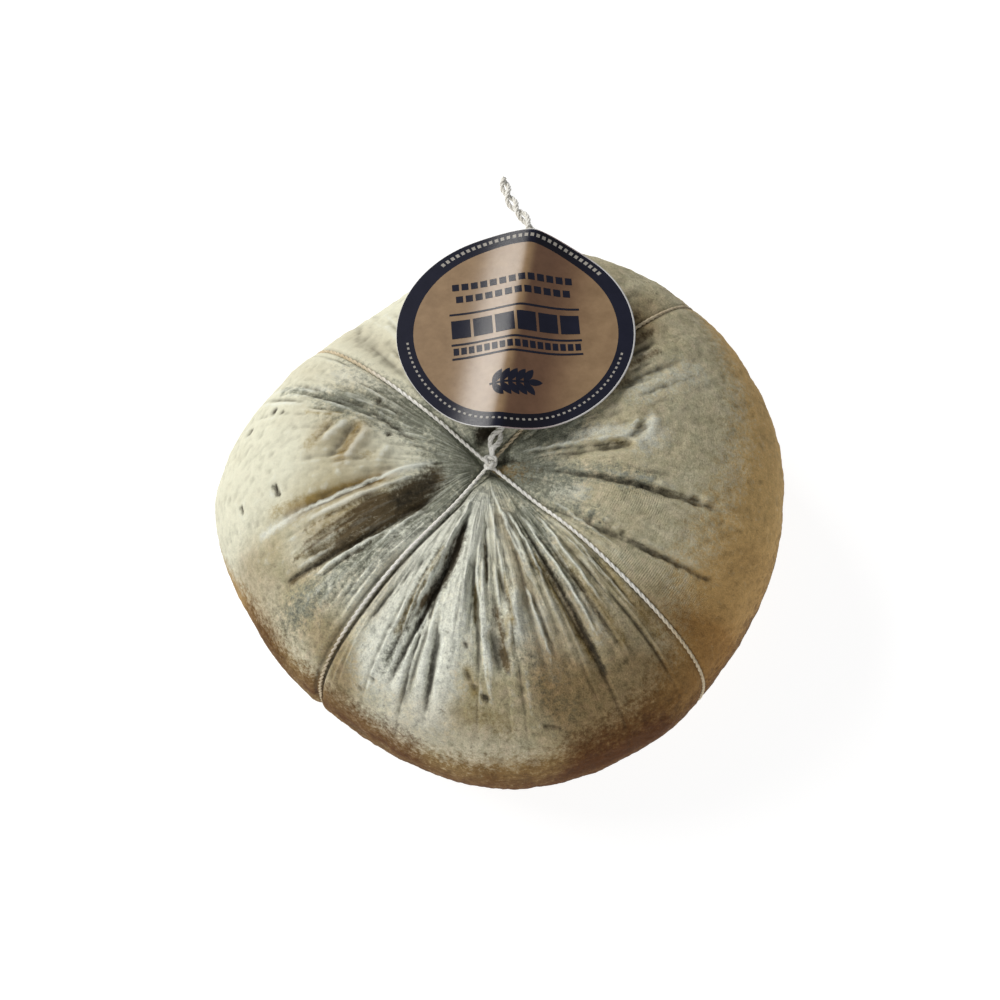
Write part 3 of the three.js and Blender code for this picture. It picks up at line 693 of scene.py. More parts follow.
class Nodes:
    """A material and short ways to add nodes to it."""

    def __init__(self, name, roughness, specular):
        self.material = bpy.data.materials.new(name)
        self.material.use_nodes = True
        self.tree = self.material.node_tree
        self.shader = self.tree.nodes["Principled BSDF"]
        self.shader.inputs["Roughness"].default_value = roughness
        self.shader.inputs["Specular IOR Level"].default_value = specular

    def link(self, source, target):
        if isinstance(source, bpy.types.NodeSocket):
            self.tree.links.new(source, target)
        else:
            target.default_value = source

    def add(self, kind, output=0, **settings):
        node = self.tree.nodes.new(kind)
        inputs = settings.pop("inputs", {})
        for key, value in settings.items():
            setattr(node, key, value)
        for key, value in inputs.items():
            self.link(value, node.inputs[key])
        return node.outputs[output]

    def place(self):
        return self.add("ShaderNodeTexCoord", output="Object")

    def mask(self, name):
        return self.add("ShaderNodeAttribute", output="Fac", attribute_name=name)

    def noise(self, size, detail=2.0, roughness=0.5):
        """Noise with lumps of about the given size in metres."""
        inputs = {"Vector": self.place(), "Scale": 1 / size, "Detail": detail, "Roughness": roughness}
        return self.add("ShaderNodeTexNoise", inputs=inputs)

    def drawn_noise(self, place, scale, detail, roughness):
        """Noise whose lumps are drawn out along one of the place's directions."""
        drawn_out = self.add("ShaderNodeMapping", inputs={"Vector": place, "Scale": scale})
        inputs = {"Vector": drawn_out, "Scale": 1.0, "Detail": detail, "Roughness": roughness}
        return self.add("ShaderNodeTexNoise", inputs=inputs)

    def spread(self, value, low, high, to_low=0.0, to_high=1.0):
        """The value, remapped from low and high to other limits, and held between them."""
        limits = {"From Min": low, "From Max": high, "To Min": to_low, "To Max": to_high}
        return self.add("ShaderNodeMapRange", clamp=True, inputs={"Value": value, **limits})

    def plus(self, first, second):
        return self.add("ShaderNodeMath", operation="ADD", inputs={0: first, 1: second})

    def times(self, first, second):
        return self.add("ShaderNodeMath", operation="MULTIPLY", inputs={0: first, 1: second})

    def total(self, *weighted):
        """The sum of values, each given with its weight."""
        result = 0.0
        for value, weight in weighted:
            result = self.plus(result, self.times(value, weight))
        return result

    def mix(self, share, first, second, blend="MIX"):
        inputs = {"Factor": share, 6: first, 7: second}
        settings = {"data_type": "RGBA", "blend_type": blend}
        return self.add("ShaderNodeMix", output=2, inputs=inputs, **settings)

    def bump(self, height, distance, strength):
        inputs = {"Height": height, "Distance": distance, "Strength": strength}
        return self.add("ShaderNodeBump", inputs=inputs)

    def finish(self, colour=None, normal=None):
        if colour is not None:
            self.link(colour, self.shader.inputs["Base Color"])
        if normal is not None:
            self.link(normal, self.shader.inputs["Normal"])
        return self.material


class Rind(Nodes):
    """The rind's colours and noises, and ways to lay a colour where a mask is."""

    cream = (0.72, 0.71, 0.565, 1)
    olive = (0.455, 0.40, 0.25, 1)
    bloom = (0.80, 0.82, 0.73, 1)
    ochre = (0.36, 0.27, 0.10, 1)
    tan = (0.66, 0.44, 0.18, 1)
    sand = (0.42, 0.31, 0.14, 1)
    sienna = (0.24, 0.145, 0.05, 1)
    rust = (0.14, 0.058, 0.02, 1)
    amber = (0.58, 0.47, 0.36, 1)
    umber = (0.14, 0.115, 0.07, 1)
    brown = (0.13, 0.092, 0.045, 1)
    grey = (0.27, 0.28, 0.22, 1)
    # The dark colour is laid only as painted shade, in hollows, marks and fine creases.
    dark = (0.045, 0.038, 0.026, 1)
    green = (0.42, 0.44, 0.27, 1)
    pink = (0.56, 0.45, 0.34, 1)

    def __init__(self):
        super().__init__("rind", roughness=0.85, specular=0.12)
        self.patchy = self.noise(0.013, 4, 0.62)
        self.mottled = self.noise(0.0042, 5, 0.7)
        self.grainy = self.noise(0.0016, 3, 0.75)
        self.fine = self.noise(0.0007, 3, 0.75)
        self.breakup = self.plus(self.total((self.grainy, 1.6), (self.mottled, 1.2)), -1.4)
        self.cloth = self.add("ShaderNodeUVMap", uv_map="cloth")
        self.streaks = self.drawn_noise(self.cloth, (0.07, 0.85, 1), 5.0, 0.7)
        self.fibrous = self.drawn_noise(self.cloth, (0.3, 1.1, 1), 3.0, 0.7)

    def laid(self, colour, name, over, most, breaks):
        """Lays a colour over another where a mask is. Noise breaks it up."""
        mask = self.mask(name)
        edge = self.plus(mask, self.times(self.breakup, breaks))
        within = self.spread(mask, 0.02, 0.2)
        share = self.times(self.spread(edge, 0.1, 0.85, 0, most), within)
        return self.mix(share, colour, over)

    def flecked(self, colour, over, source, low, high, most):
        """Flecks of a colour over another where the rind is coarse."""
        flecks = self.spread(source, low, high, 0, most)
        return self.mix(self.times(flecks, self.mask("coarse")), colour, over)

    def matured(self):
        """Cream to olive, the olive on the right partly painted shade, with flecks, bloom, mould and
        ochre, and a tan or brown rim.
        """
        toned = self.plus(self.mask("olive"), self.spread(self.patchy, 0.3, 0.7, -0.14, 0.14))
        colour = self.mix(self.spread(toned, 0, 1), self.cream, self.olive)
        colour = self.flecked(colour, self.green, self.mottled, 0.5, 0.7, 0.5)
        colour = self.flecked(colour, self.pink, self.mottled, 0.5, 0.32, 0.5)
        # The rim is toasted at the front and the back, and tan elsewhere.
        toasted = self.mix(self.spread(self.patchy, 0.3, 0.7), self.sand, self.sienna)
        layers = (
            ("bloom", self.bloom, 0.8, 1.0),
            ("mould", self.grey, 1.0, 1.3),
            ("ochre", self.ochre, 0.95, 0.8),
            ("rim", self.mix(self.mask("toasted"), self.tan, toasted), 1.0, 1.0),
            # Rust brown low on the side, partly painted shade.
            ("rust", self.rust, 0.9, 0.7),
            # Brown stain in deep folds, partly painted shade.
            ("stain", self.brown, 0.95, 0.8),
            # Painted highlight on the crests of fine ridges, partly pale bloom.
            ("crest", self.bloom, 0.85, 0.4),
        )
        for name, over, most, breaks in layers:
            colour = self.laid(colour, name, over, most, breaks)
        return colour

    def streaked(self, colour):
        """Fine creases in the cloth run out from the knot, some dark with painted shade and some pale
        with a painted highlight.
        """
        for over, limit, most in ((self.dark, 0.36, 0.4), (self.bloom, 0.66, 0.6)):
            share = self.spread(self.streaks, 0.5, limit, 0, most)
            colour = self.mix(self.times(share, self.mask("streak")), colour, over)
        return colour

    def shaded(self, colour):
        """Painted shade darkens the hollows, some places are tinted darker and browner, partly as
        painted shade, the darkest marks are painted shade and the sharpest ridges get a painted
        highlight.
        """
        colour = self.mix(self.spread(self.mask("hollow"), 0, 1), colour, self.dark)
        colour = self.mix(self.spread(self.mask("tint"), 0, 1), colour, self.amber, "MULTIPLY")
        colour = self.laid(colour, "shade", self.dark, 1.0, 0.6)
        return self.laid(colour, "ridge", self.bloom, 0.9, 0.5)

    def speckled(self, colour):
        """Brown flecks and a fine grain of light and dark."""
        colour = self.flecked(colour, self.umber, self.grainy, 0.62, 0.76, 0.8)
        grain = ((self.mottled, 0.25), (self.grainy, 0.25), (self.fibrous, 0.2), (self.fine, 0.3))
        speckle = self.spread(self.total(*grain), 0.38, 0.62, 0.6, -0.6)
        speckle = self.times(speckle, self.mask("coarse"))
        return self.mix(1.0, colour, self.plus(speckle, 1), "MULTIPLY")

    def height(self):
        """The height of the weave, the grain and the creases."""
        shape = {"Scale": 0.4, "Distortion": 3.0, "Detail": 2.0, "Detail Scale": 0.6}
        inputs = {"Vector": self.cloth, **shape}
        weave = self.add("ShaderNodeTexWave", output="Fac", bands_direction="X", inputs=inputs)
        woven = self.times(self.times(weave, 0.5), self.mask("weave"))
        creased = self.times(self.times(self.streaks, 4.0), self.mask("streak"))
        grain = self.total((self.grainy, 1), (self.fine, 0.8), (self.fibrous, 0.6))
        return self.total((woven, 1), (self.times(grain, self.mask("coarse")), 2.2), (creased, 1))


def rind_material():
    rind = Rind()
    colour = rind.speckled(rind.shaded(rind.streaked(rind.matured())))
    return rind.finish(colour, rind.bump(rind.height(), distance=0.0004, strength=0.8))


def twine_material():
    nodes = Nodes("twine", roughness=0.9, specular=0.2)
    shade = nodes.spread(nodes.noise(0.003, 3, 0.6), 0.3, 0.7)
    clean = nodes.mix(shade, (0.80, 0.78, 0.72, 1), (0.95, 0.94, 0.90, 1))
    worn = nodes.mix(shade, (0.54, 0.44, 0.29, 1), (0.72, 0.62, 0.45, 1))
    colour = nodes.mix(nodes.mask("worn"), clean, worn)
    return nodes.finish(colour, nodes.bump(nodes.noise(0.0005), distance=0.0003, strength=0.8))


def card_material(name, first, second, roughness=0.22, specular=0.5):
    nodes = Nodes(name, roughness, specular)
    fibres = nodes.spread(nodes.noise(0.006, 4, 0.65), 0.3, 0.7)
    colour = nodes.mix(fibres, first, second)
    # The card is darker beside its fold: painted shade on the half that falls away from the lamps.
    darker = (0.54, 0.42, 0.42, 1)
    return nodes.finish(nodes.mix(nodes.mask("beside_fold"), colour, darker, "MULTIPLY"))


def floor_material():
    nodes = Nodes("floor", roughness=0.9, specular=0.1)
    nodes.shader.inputs["Emission Color"].default_value = (1, 1, 1, 1)
    nodes.shader.inputs["Emission Strength"].default_value = 0.88
    return nodes.finish((0.3, 0.3, 0.3, 1))


def front_share(azimuth):
    return facing(azimuth, 258, 0.3, 0.75)


def back_share(azimuth):
    return facing(azimuth, 120, 0.1, 0.6)


def rim_share(azimuth, height):
    """How tan the side is: highest up on the right, least on the left, softest at the back."""
    right = np.maximum(0, np.cos(azimuth + math.radians(18))) ** 2
    left = bell(np.mod(np.degrees(azimuth), 360) - 178, 20)
    middle = 60 + 20 * right - 16 * left - 4 * facing(azimuth, 272, 0.6, 0.95)
    return 1 - smooth_step(height, middle - 10 - 22 * back_share(azimuth), middle + 9)


def streak_share(azimuth, radius):
    """How finely creased the rind is: most at the front, between two strings."""
    weight = 0.12 + 0.7 * facing(azimuth, 268, 0.5, 0.8)
    return weight * smooth_step(radius, 4, 12) * (1 - smooth_step(radius, 50, 90))


def rim_rust_and_shade(azimuth, height):
    """How rusty the side is: most at the front on the right, and about 30 mm above the floor. The dark
    there is partly painted shade, where the side turns away from the lamps.
    """
    weight = 0.45 + 0.55 * np.cos(azimuth - math.radians(312))
    return weight * smooth_step(height, 0, 30) * (1 - smooth_step(height, 30, 62))


def ridge_profile(distance, share, half_width, depth):
    """A painted highlight along the top of the sharpest ridges, partly pale bloom."""
    top = bell(distance + wander(share, depth), 0.65 * half_width)
    return -0.75 * depth * taper(share, 8, 3) * top


def painted_string_shadow(azimuth, down):
    """The painted shadow of one of the strings: a dark line on its right."""
    beside = off_string("front left", azimuth, down)
    radius = radius_at(azimuth, down)
    line = bell(beside - 1.7, 0.8) * smooth_step(radius, 8, 20) * (1 - smooth_step(radius, 94, 102))
    return np.where(down <= 0.5, 0.75 * line, 0)


def rim_tint_and_shade(azimuth, height):
    """How much darker the side is: most at the front right, less at the front. This is partly a browner
    colour and partly painted shade where the side turns away from the lamps.
    """
    at_front = 0.28 * front_share(azimuth) * (1 - smooth_step(height, 44, 66))
    front_right = facing(azimuth, 308, 0.6, 0.95)
    return at_front + 0.45 * front_right * (1 - smooth_step(height, 50, 84))


def rind_masks(azimuth, down, height, relief):
    """Where each colour and texture of the rind lies, and where shade and highlights are painted on it.
    """
    radius = radius_at(azimuth, down)
    x, y = from_above(azimuth, down)
    on_top = down <= 0.5

    def patches(rows, profile=soft_profile):
        return np.where(on_top, add_along(rows, x, y, profile), 0)

    # Painted shade: the hollow mask darkens places that lie lower than the rind around them, as shade
    # falls in grooves and folds.
    fine_hollow = (relief - blurred(relief, rings=2, columns=4)) / 1.6
    broad_hollow = (relief - blurred(relief, rings=5, columns=10)) / 9
    mould = patches(MOULD)
    # Brown stain in the deep folds and beside the label, partly painted shade; less hollow shade and
    # fewer streaks are painted where it lies.
    stain = patches(STAIN_AND_SHADE)
    outside_stain_and_shade = 1 - 0.7 * np.clip(stain, 0, 1)
    hollow = 1.6 * np.maximum(fine_hollow, 0) * outside_stain_and_shade + np.maximum(broad_hollow, 0)
    rim = rim_share(azimuth, height)
    # The right side is laid more olive: partly its own colour, partly painted shade on the side away
    # from the lamps.
    right = smooth_step(x, -8, 42)
    in_front = 0.55 * smooth_step(-y, 5, 60)
    clear = 1 - bell(string_distance(azimuth, down), 6)
    # The crest mask lays the tops of fine ridges pale: a painted highlight, partly pale bloom, weaker
    # on the right side away from the lamps, near the strings and in stains.
    crest_highlight_share = (1 - 0.7 * right) * (1 - 0.8 * np.clip(stain, 0, 1)) * clear
    sharp_ridges = [crease for crease in CREASES if crease[5] <= -SHARP_RIDGE]
    return {
        "hollow": np.clip(hollow, 0, 0.7),
        "crest": np.clip(-2.4 * fine_hollow - 0.08, 0, 0.9) * crest_highlight_share * (1 - rim),
        # Painted highlight along the sharpest ridges, weaker on the right side away from the lamps.
        "ridge": patches(sharp_ridges, ridge_profile) * (1 - 0.3 * right),
        "toasted": front_share(azimuth) + back_share(azimuth),
        "rust": patches(RUST_AND_SHADE) + rim_rust_and_shade(azimuth, height),
        "streak": (streak_share(azimuth, radius) + patches(STREAKS)) * outside_stain_and_shade,
        # Painted shade in pits, nicks and sharp folds, and the painted shadow beside a string.
        "shade": patches(PAINTED_SHADE) + painted_string_shadow(azimuth, down),
        # Darker and browner places, partly painted shade.
        "tint": patches(TINT_AND_SHADE) + rim_tint_and_shade(azimuth, height),
        "olive": 0.85 * right + patches(OLIVE),
        "mould": mould,
        "bloom": patches(BLOOM),
        "ochre": patches(OCHRE),
        "stain": stain,
        "weave": 0.06 + patches(WEAVE),
        "rim": rim,
        "coarse": (0.13 + 0.5 * mould + np.maximum(0.45 * right, in_front)) * (1 - 0.3 * rim),
    }


def add_cloth_map(piece, points, azimuth, radius):
    """The cloth's threads run across the folds, in rings round the knot."""
    steps = np.linalg.norm(np.diff(points, axis=0), axis=-1).mean(axis=1)
    reach = radius.mean(axis=1)[0] + np.concatenate([[0], np.cumsum(steps)])
    threads = np.stack([np.repeat(reach[:, None], azimuth.shape[1], axis=1), 30 * azimuth], axis=-1)
    threads = np.concatenate([[[0, 0]], threads.reshape(-1, 2), [[0, 0]]])
    layer = piece.data.uv_layers.new(name="cloth")
    corners = np.zeros(len(piece.data.loops), np.int32)
    piece.data.loops.foreach_get("vertex_index", corners)
    layer.data.foreach_set("uv", threads[corners].ravel())


def make_rind():
    down = ring_places()
    azimuth = column_azimuths(down)
    downs = np.repeat(down[:, None], azimuth.shape[1], axis=1)
    points, relief = rind_points(azimuth, downs)
    middle = [KNOT_PLACE[0], KNOT_PLACE[1], points[0, :, 2].mean()]
    under = [0, 0, GROOVE_BASE_DEPTH + CROSSING_HOLLOW_DEPTH]
    piece = mesh_object("rind", *closed_rings(middle, points, under), [rind_material()])
    for name, values in rind_masks(azimuth, downs, points[..., 2], relief).items():
        values = np.clip(values, 0, 1)
        add_mask(piece, name, [values[0].mean(), *values.ravel(), values[-1].mean()])
    add_cloth_map(piece, points, azimuth, radius_at(azimuth, downs))
    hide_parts("cheese")
    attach(piece, "root")


def even_path(points, spacing):
    """The smooth curve through the points, resampled at even spacing."""
    points = np.asarray(points, float)
    ends = np.concatenate([[2 * points[0] - points[1]], points, [2 * points[-1] - points[-2]]])
    fine = []
    for a, b, c, d in zip(ends, ends[1:], ends[2:], ends[3:]):
        t = np.linspace(0, 1, 24, endpoint=False)[:, None]
        curve = 2 * b + t * (c - a) + t**2 * (2 * a - 5 * b + 4 * c - d) + t**3 * (3 * (b - c) + d - a)
        fine.append(curve / 2)
    fine = np.concatenate([*fine, points[-1:]])
    lengths = lengths_along(fine)
    count = max(2, int(round(lengths[-1] / spacing)))
    wanted = np.linspace(0, lengths[-1], count + 1)
    return np.stack([np.interp(wanted, lengths, fine[:, k]) for k in range(3)], axis=1)


def side_frames(path):
    """Two directions across a path at each point, carried along it without twisting."""
    tangents = np.gradient(path, axis=0)
    tangents /= np.linalg.norm(tangents, axis=1, keepdims=True)
    first = np.cross(tangents[0], [0.3, 0.5, 0.81])
    sides = []
    for tangent in tangents:
        first = first - tangent * (first @ tangent)
        first /= np.linalg.norm(first)
        sides.append(first)
    sides = np.array(sides)
    return sides, np.cross(tangents, sides)


def wound(path, wide, tall, turn, count):
    """Strands that wind round a path. Wide and tall are the offsets, turn the angle, at each point."""
    sides, ups = side_frames(path)
    strands = []
    for k in range(count):
        angle = turn + FULL_TURN * k / count
        across = np.reshape(wide * np.cos(angle), (-1, 1)) * sides
        strands.append(path + across + np.reshape(tall * np.sin(angle), (-1, 1)) * ups)
    return strands


def lengths_along(path):
    return np.concatenate([[0], np.cumsum(np.linalg.norm(np.diff(path, axis=0), axis=1))])


def twisted(path, offset, pitch):
    """Two strands evenly twisted round a path."""
    return wound(path, offset, offset, FULL_TURN * lengths_along(path) / pitch, 2)


def tubes(paths, radius):
    """Vertices and faces of closed tubes along paths, six-sided and shaded as round."""
    vertices, faces = [], []
    sides = 6
    turn = np.arange(sides)[:, None] / sides * FULL_TURN
    for path in paths:
        first, second = side_frames(path)
        around = np.cos(turn) * first[:, None] + np.sin(turn) * second[:, None]
        start = sum(len(v) for v in vertices)
        vertices.append((path[:, None] + radius * around).reshape(-1, 3))
        at = start + np.arange(len(path) * sides).reshape(len(path), sides)
        beside = np.roll(at, -1, axis=1)
        quads = np.stack([at[:-1], beside[:-1], beside[1:], at[1:]], axis=-1)
        faces += quads.reshape(-1, 4).tolist()
        faces += [at[0][::-1].tolist(), at[-1].tolist()]
    return np.concatenate(vertices), faces


def string_half(string):
    """Half of a string loop: out of the knot, down its groove and in under the base."""
    rest = STRING_DIAMETER / 2 + GAP
    start = string_azimuth(string, 0)
    reach = 1.5 * KNOT_RADIUS + KNOT_STRAND + GAP
    middle = np.array([*KNOT_PLACE, KNOT_HEIGHT - 0.2])
    outward = np.array([np.cos(start), np.sin(start), 0])
    down = np.concatenate([[0.04, 0.06], np.arange(0.09, 0.80, 0.04), [0.82, 0.88]])
    azimuth = string_azimuth(string, down)
    slope = groove_depth(down) / GROOVE_HALF_WIDTH
    normal = plain_normal(azimuth, down)
    sink = STRING_SINK[string] * smooth_step(down, 0.04, 0.12) * (1 - smooth_step(down, 0.48, 0.64))
    if string == "back right":
        # This one lies deeper close to the knot.
        sink = sink + 1.7 * bell(down - 0.09, 0.09)
    less_groove, less_valley = groove_filling(azimuth, down)
    filled = less_groove * groove_depth(down) + less_valley * VALLEY_DEPTH * girth_share(down)
    lift = rest * np.hypot(1, slope * (1 - less_groove)) + filled - sink - less_valley
    points = solid_rind(azimuth, down) + normal * lift[:, None]
    return np.concatenate([[middle + 1.6 * outward, middle + reach * outward], points])


def solid_rind(azimuth, down):
    """The rind as the solids have it, which the strings lie on."""
    off = string_distance(azimuth, down)
    relief = groove_depth(down) * bell(off, SOLID_GROOVE_BELL)
    relief += VALLEY_DEPTH * girth_share(down) * bell(off, VALLEY_HALF_WIDTH)
    folds = add_along(FOLDS, *from_above(azimuth, down), plain_fold_profile)
    hollow = CROSSING_HOLLOW_DEPTH * bell(radius_at(azimuth, down), CROSSING_HOLLOW_RADIUS)
    relief += np.where(down <= 0.5, folds, hollow)
    return drawn_in(azimuth, down, relief)


def string_wear(points):
    """How much a string has taken on the colour of the rind."""
    x, y = points[:, 0] - KNOT_PLACE[0], points[:, 1] - KNOT_PLACE[1]
    quarter = np.floor(np.degrees(np.arctan2(y, x)) / 90).astype(int) % 4
    clean = np.array(STRING_CLEAN)[quarter]
    return smooth_step(np.hypot(x, y), clean, clean + 25)


def make_string(name, first, second, lift, material):
    going = string_half(first)
    coming = string_half(second)[::-1]
    floor = going[-1][2]
    crossing = [
        [0.3 * going[-1][0], 0.3 * going[-1][1], floor + 0.3 * lift],
        [0, 0, floor + lift],
        [0.3 * coming[0][0], 0.3 * coming[0][1], floor + 0.3 * lift],
    ]
    path = even_path(np.concatenate([going, crossing, coming]), spacing=0.6)
    vertices, faces = tubes(twisted(path, STRAND_OFFSET, STRAND_PITCH), STRAND_RADIUS)
    piece = mesh_object(name + "_twine", vertices, faces, [material])
    add_mask(piece, "worn", string_wear(vertices))
    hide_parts(name)
    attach(piece, "root")


def make_knot(material):
    t = np.linspace(0, FULL_TURN, 60)
    radius = KNOT_RADIUS * (2 + np.cos(3 * t)) / 2
    height = KNOT_RADIUS * np.sin(3 * t) / 2
    ring = np.stack([radius * np.cos(2 * t), radius * np.sin(2 * t), height], axis=1)
    uneven = np.stack([np.sin(5 * t), np.cos(7 * t), np.sin(4 * t)], axis=1)
    ring = ring * [0.62, 0.85, 1.1] + 0.25 * uneven
    place = [KNOT_PLACE[0] + 0.4, KNOT_PLACE[1] + 0.5, KNOT_HEIGHT + 0.5]
    path = even_path(ring + place, spacing=0.4)
    strands = twisted(path, offset=0.36, pitch=4)
    piece = mesh_object("knot_twine", *tubes(strands, radius=0.6), [material])
    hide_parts("knot")
    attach(piece, "root")


def make_cord(material):
    path = even_path(CORD_ROUTE, spacing=0.5)
    share = np.linspace(0, 1, len(path))
    # The two strands are looser near both ends, turn a little unevenly and swing aside at the knot.
    looseness = 1.3 + 0.35 * bell(share - 0.02, 0.03) + 0.35 * bell(share - 0.94, 0.03)
    half_turns = math.pi * CORD_LOOPS * share + 0.6 * np.sin(3 * FULL_TURN * share)
    drift = np.array([1.3, 0, 0]) * bell(share - 0.03, 0.03)[:, None]
    turn = math.pi / 2 + half_turns
    strands = wound(path + drift, wide=looseness, tall=0.85, turn=turn, count=2)
    into_knot = np.array(CORD_ROUTE[0]) + np.array([[0.6, -3, -0.8], [0.8, -1.4, 0]])
    strands = [np.concatenate([into_knot, strand]) for strand in strands]
    frayed = 1 + 0.12 * np.sin(0.9 * np.arange(len(strands[0])))
    turn = 0.55 * np.arange(len(strands[0]))
    plies = []
    for strand in strands:
        plies += wound(strand, wide=PLY_OFFSET * frayed, tall=PLY_OFFSET, turn=turn, count=3)
    piece = mesh_object("cord", *tubes(plies, PLY_RADIUS), [material])
    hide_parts("hanging_cord")
    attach(piece, "root")


def levelled(off, reach, ease):
    """The distance from the fold, held at about the reach beyond it."""
    beyond = ease * np.log1p(np.exp((off - reach) / ease))
    return off - beyond + ease * math.log1p(math.exp(-reach / ease))


def card_point(across, along, lift=0.0):
    """A point over the folded card, from its distances across and along the fold."""
    across, along = np.broadcast_arrays(np.asarray(across, float), np.asarray(along, float))
    # Each half falls away from the fold, steeply for about 15 mm and less, or not at all, beyond.
    off = np.hypot(across, 1.5) - 1.5
    left_drop = 0.13 * off + 0.24 * levelled(off, 15, 2.5)
    right_drop = -0.07 * off + 0.5 * levelled(off, 15, 3)
    # It falls more towards the back.
    easing = 0.86 + 0.14 * along / LABEL_RADIUS
    rise = LABEL_RIDGE_LIFT - easing * np.where(across < 0, left_drop, right_drop) + lift
    # The front edge bows out beside the fold.
    fall = math.radians(LABEL_FALL)
    reach = along - 2.4 * smooth_step(-along, 8, 43) * bell(across + 9, np.where(across < -9, 24, 15))
    y = reach * math.cos(fall) + rise * math.sin(fall)
    z = -reach * math.sin(fall) + rise * math.cos(fall)
    turn = -math.radians(LABEL_AZIMUTH)
    x = across * math.cos(turn) - y * math.sin(turn)
    y = across * math.sin(turn) + y * math.cos(turn)
    return np.stack([x, y, z], axis=-1) + LABEL_CENTRE


def make_label():
    kraft_colours = (0.23, 0.142, 0.07, 1), (0.31, 0.20, 0.105, 1)
    kraft = card_material("kraft", *kraft_colours, roughness=0.27, specular=1.0)
    navy = card_material("navy", (0.006, 0.007, 0.018, 1), (0.01, 0.011, 0.025, 1))
    white = card_material("white card", (0.72, 0.71, 0.70, 1), (0.76, 0.75, 0.74, 1))
    columns = 240
    turn = np.arange(columns) / columns * FULL_TURN
    aside = BORDER_SHIFT * np.sin(turn)
    border = BORDER_SHIFT * np.cos(turn) + np.sqrt(BORDER_RADIUS**2 - aside**2)
    border = np.minimum(border, LABEL_RADIUS - 0.1)
    kraft_rings = 30
    radii = [KRAFT_RADIUS * np.full(turn.shape, i / kraft_rings) for i in range(1, kraft_rings + 1)]
    radii += [KRAFT_RADIUS + (border - KRAFT_RADIUS) * i / 3 for i in (1, 2, 3)]
    radii += [np.full(turn.shape, float(LABEL_RADIUS))]
    kinds = [0] * (kraft_rings - 1) + [1] * 3 + [2]
    top = [card_point(r * np.cos(turn), r * np.sin(turn)) for r in radii]
    under = [
        card_point(share * radii[-1] * np.cos(turn), share * radii[-1] * np.sin(turn), -LABEL_THICKNESS)
        for share in np.linspace(1, 0.05, 20)
    ]
    kinds += [2] * len(under)
    rings = np.array(top + under)
    vertices, faces = closed_rings(card_point(0, 0), rings, card_point(0, 0, -LABEL_THICKNESS))
    indices = np.repeat([*kinds, 0, 2], columns).tolist()
    piece = mesh_object("label_card", vertices, faces, [kraft, navy, white], indices)
    across = np.concatenate([r * np.cos(turn) for r in radii])
    # Painted shade beside the fold, on the half that falls away from the lamps.
    beside_fold = smooth_step(across, 0, 3) * (1 - smooth_step(across, 10, 30))
    add_mask(piece, "beside_fold", [0, *beside_fold, *np.zeros(len(vertices) - 1 - len(across))])
    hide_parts("label")
    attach(piece, "root")
    make_print(navy, card_material("ring marks", (0.33, 0.31, 0.28, 1), (0.38, 0.36, 0.32, 1)))


class Print:
    """Flat shapes printed on the card, gathered into one mesh."""

    def __init__(self):
        self.vertices = []
        self.faces = []
        self.kinds = []

    def grid(self, x, y, kind, turned=True):
        """A patch of ink from two grids of places on the print."""
        turn = PRINT_TURN if turned else 0
        across = x * math.cos(turn) + y * math.sin(turn)
        along = -x * math.sin(turn) + y * math.cos(turn)
        rows, columns = x.shape
        start = len(self.vertices)
        self.vertices += card_point(across, along, PRINT_LIFT).reshape(-1, 3).tolist()
        at = start + np.arange(rows * columns).reshape(rows, columns)
        quads = np.stack([at[:-1, :-1], at[:-1, 1:], at[1:, 1:], at[1:, :-1]], axis=-1).reshape(-1, 4)
        self.faces += quads.tolist()
        self.kinds += [kind] * len(quads)

    def bar(self, centre_x, centre_y, width, height):
        columns = 2 * math.ceil(width) + 1
        x, y = np.meshgrid(
            np.linspace(centre_x - width / 2, centre_x + width / 2, columns),
            np.linspace(centre_y - height / 2, centre_y + height / 2, 3),
        )
        self.grid(x, y, 0)

    def leaf(self, x, y, turn, length=LEAF_LENGTH):
        """A pointed leaf from its stalk end, in the direction of turn."""
        t, s = np.meshgrid(np.linspace(0, 1, 9), np.linspace(-1, 1, 5))
        along, across = length * t, s * LEAF_WIDTH / 2 * np.sin(math.pi * t) ** 0.8
        angle = math.radians(turn)
        self.grid(
            x + along * math.cos(angle) - across * math.sin(angle),
            y + along * math.sin(angle) + across * math.cos(angle),
            0,
        )

    def ring_mark(self, turn, radius, width, height):
        angles = np.radians(turn) + np.linspace(-0.5, 0.5, 4) * width / radius
        a, r = np.meshgrid(angles, radius + np.array([-0.5, 0.5]) * height)
        self.grid(r * np.cos(a), r * np.sin(a), 1, turned=False)


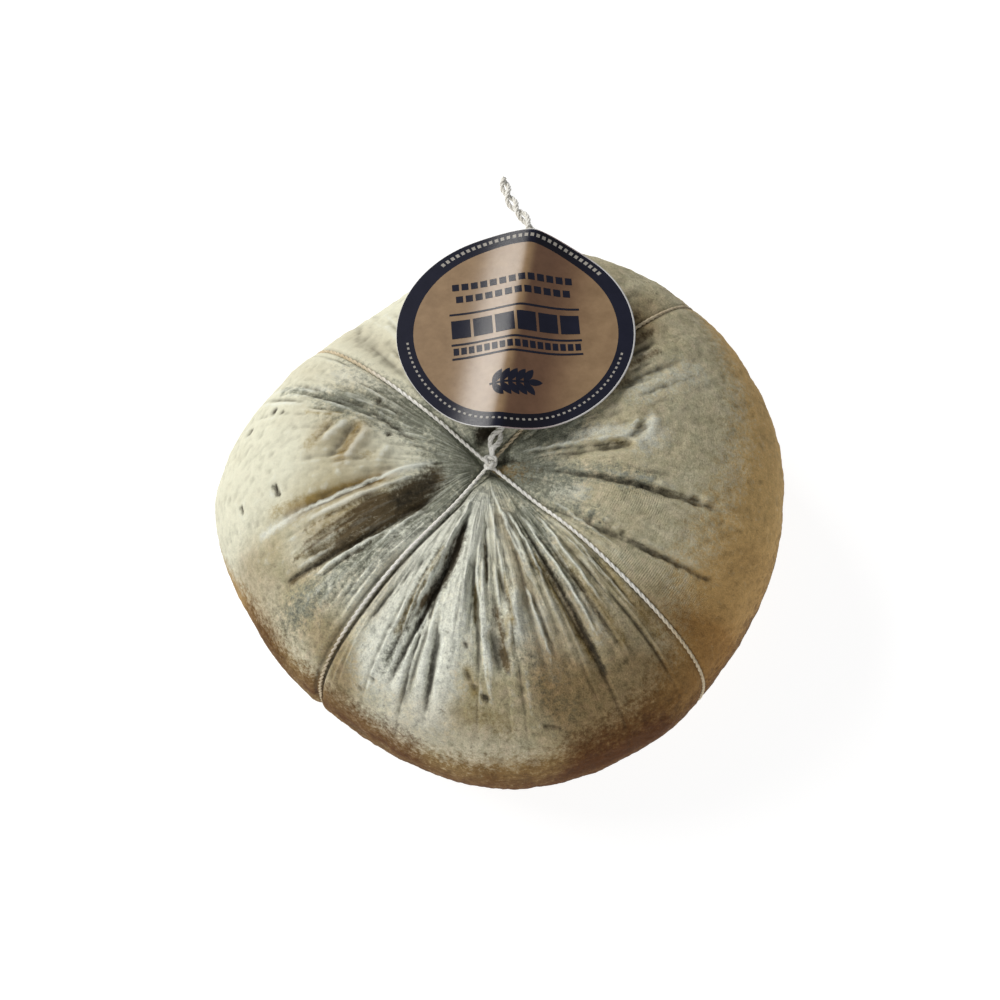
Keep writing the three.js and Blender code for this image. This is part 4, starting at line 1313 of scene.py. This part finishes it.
def make_print(navy, light):
    """Plain rules, bands of blocks, a sprig and marks round the ring."""
    ink = Print()
    for y in RULE_HEIGHTS:
        ink.bar(0, y, RULE_LENGTH, RULE_WIDTH)
    for y, count, step, width, height in BLOCK_BANDS:
        for i in range(count):
            ink.bar((i - (count - 1) / 2) * step, y, width, height)
    start, y = SPRIG_PLACE
    ink.bar(start + 6, y, 14, RULE_WIDTH)
    for i in range(5):
        ink.leaf(start + 2.8 * i, y, 55)
        ink.leaf(start + 2.8 * i, y, -55)
    ink.leaf(start + 12, y, 0, 6)
    for count, first, radius, width, height in RING_MARKS:
        for i in range(count):
            ink.ring_mark(first + RING_MARK_STEP * i, radius, width, height)
    piece = mesh_object("label_print", ink.vertices, ink.faces, [navy, light], ink.kinds)
    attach(piece, "root")


def make_floor():
    bpy.ops.mesh.primitive_plane_add(size=FLOOR_SIZE)
    floor = bpy.context.object
    floor.name = "floor"
    floor.data.materials.append(floor_material())


def add_light(name, place, size, power, colour):
    light = bpy.data.objects.new(name, bpy.data.lights.new(name, "AREA"))
    light.data.size = size
    light.data.energy = power
    light.data.color = colour
    light.location = place
    light.rotation_euler = (CAMERA_TARGET - Vector(place)).to_track_quat("-Z", "Y").to_euler()
    bpy.context.scene.collection.objects.link(light)


def light_scene():
    add_light("window", (-1.05, 0.1, 1.1), size=0.5, power=7.5, colour=(1, 0.985, 0.95))
    add_light("back window", (-0.87, 1.0, 1.03), size=0.5, power=15, colour=(1, 0.98, 0.94))
    add_light("fill", (0, -1.25, 0.7), size=1.0, power=6, colour=(1, 0.98, 0.95))
    world = bpy.data.worlds.new("studio")
    world.use_nodes = True
    background = world.node_tree.nodes["Background"]
    background.inputs["Color"].default_value = (0.95, 0.97, 1, 1)
    background.inputs["Strength"].default_value = 0.17
    bpy.context.scene.world = world
    bpy.context.scene.view_settings.view_transform = "Standard"


def main():
    make_camera()
    twine = twine_material()
    make_cord(twine)
    make_string("string_loop_a", "front left", "back right", 0, twine)
    make_string("string_loop_b", "front right", "back left", STRING_DIAMETER + GAP, twine)
    make_knot(twine)
    make_rind()
    make_label()
    make_floor()
    light_scene()


main()
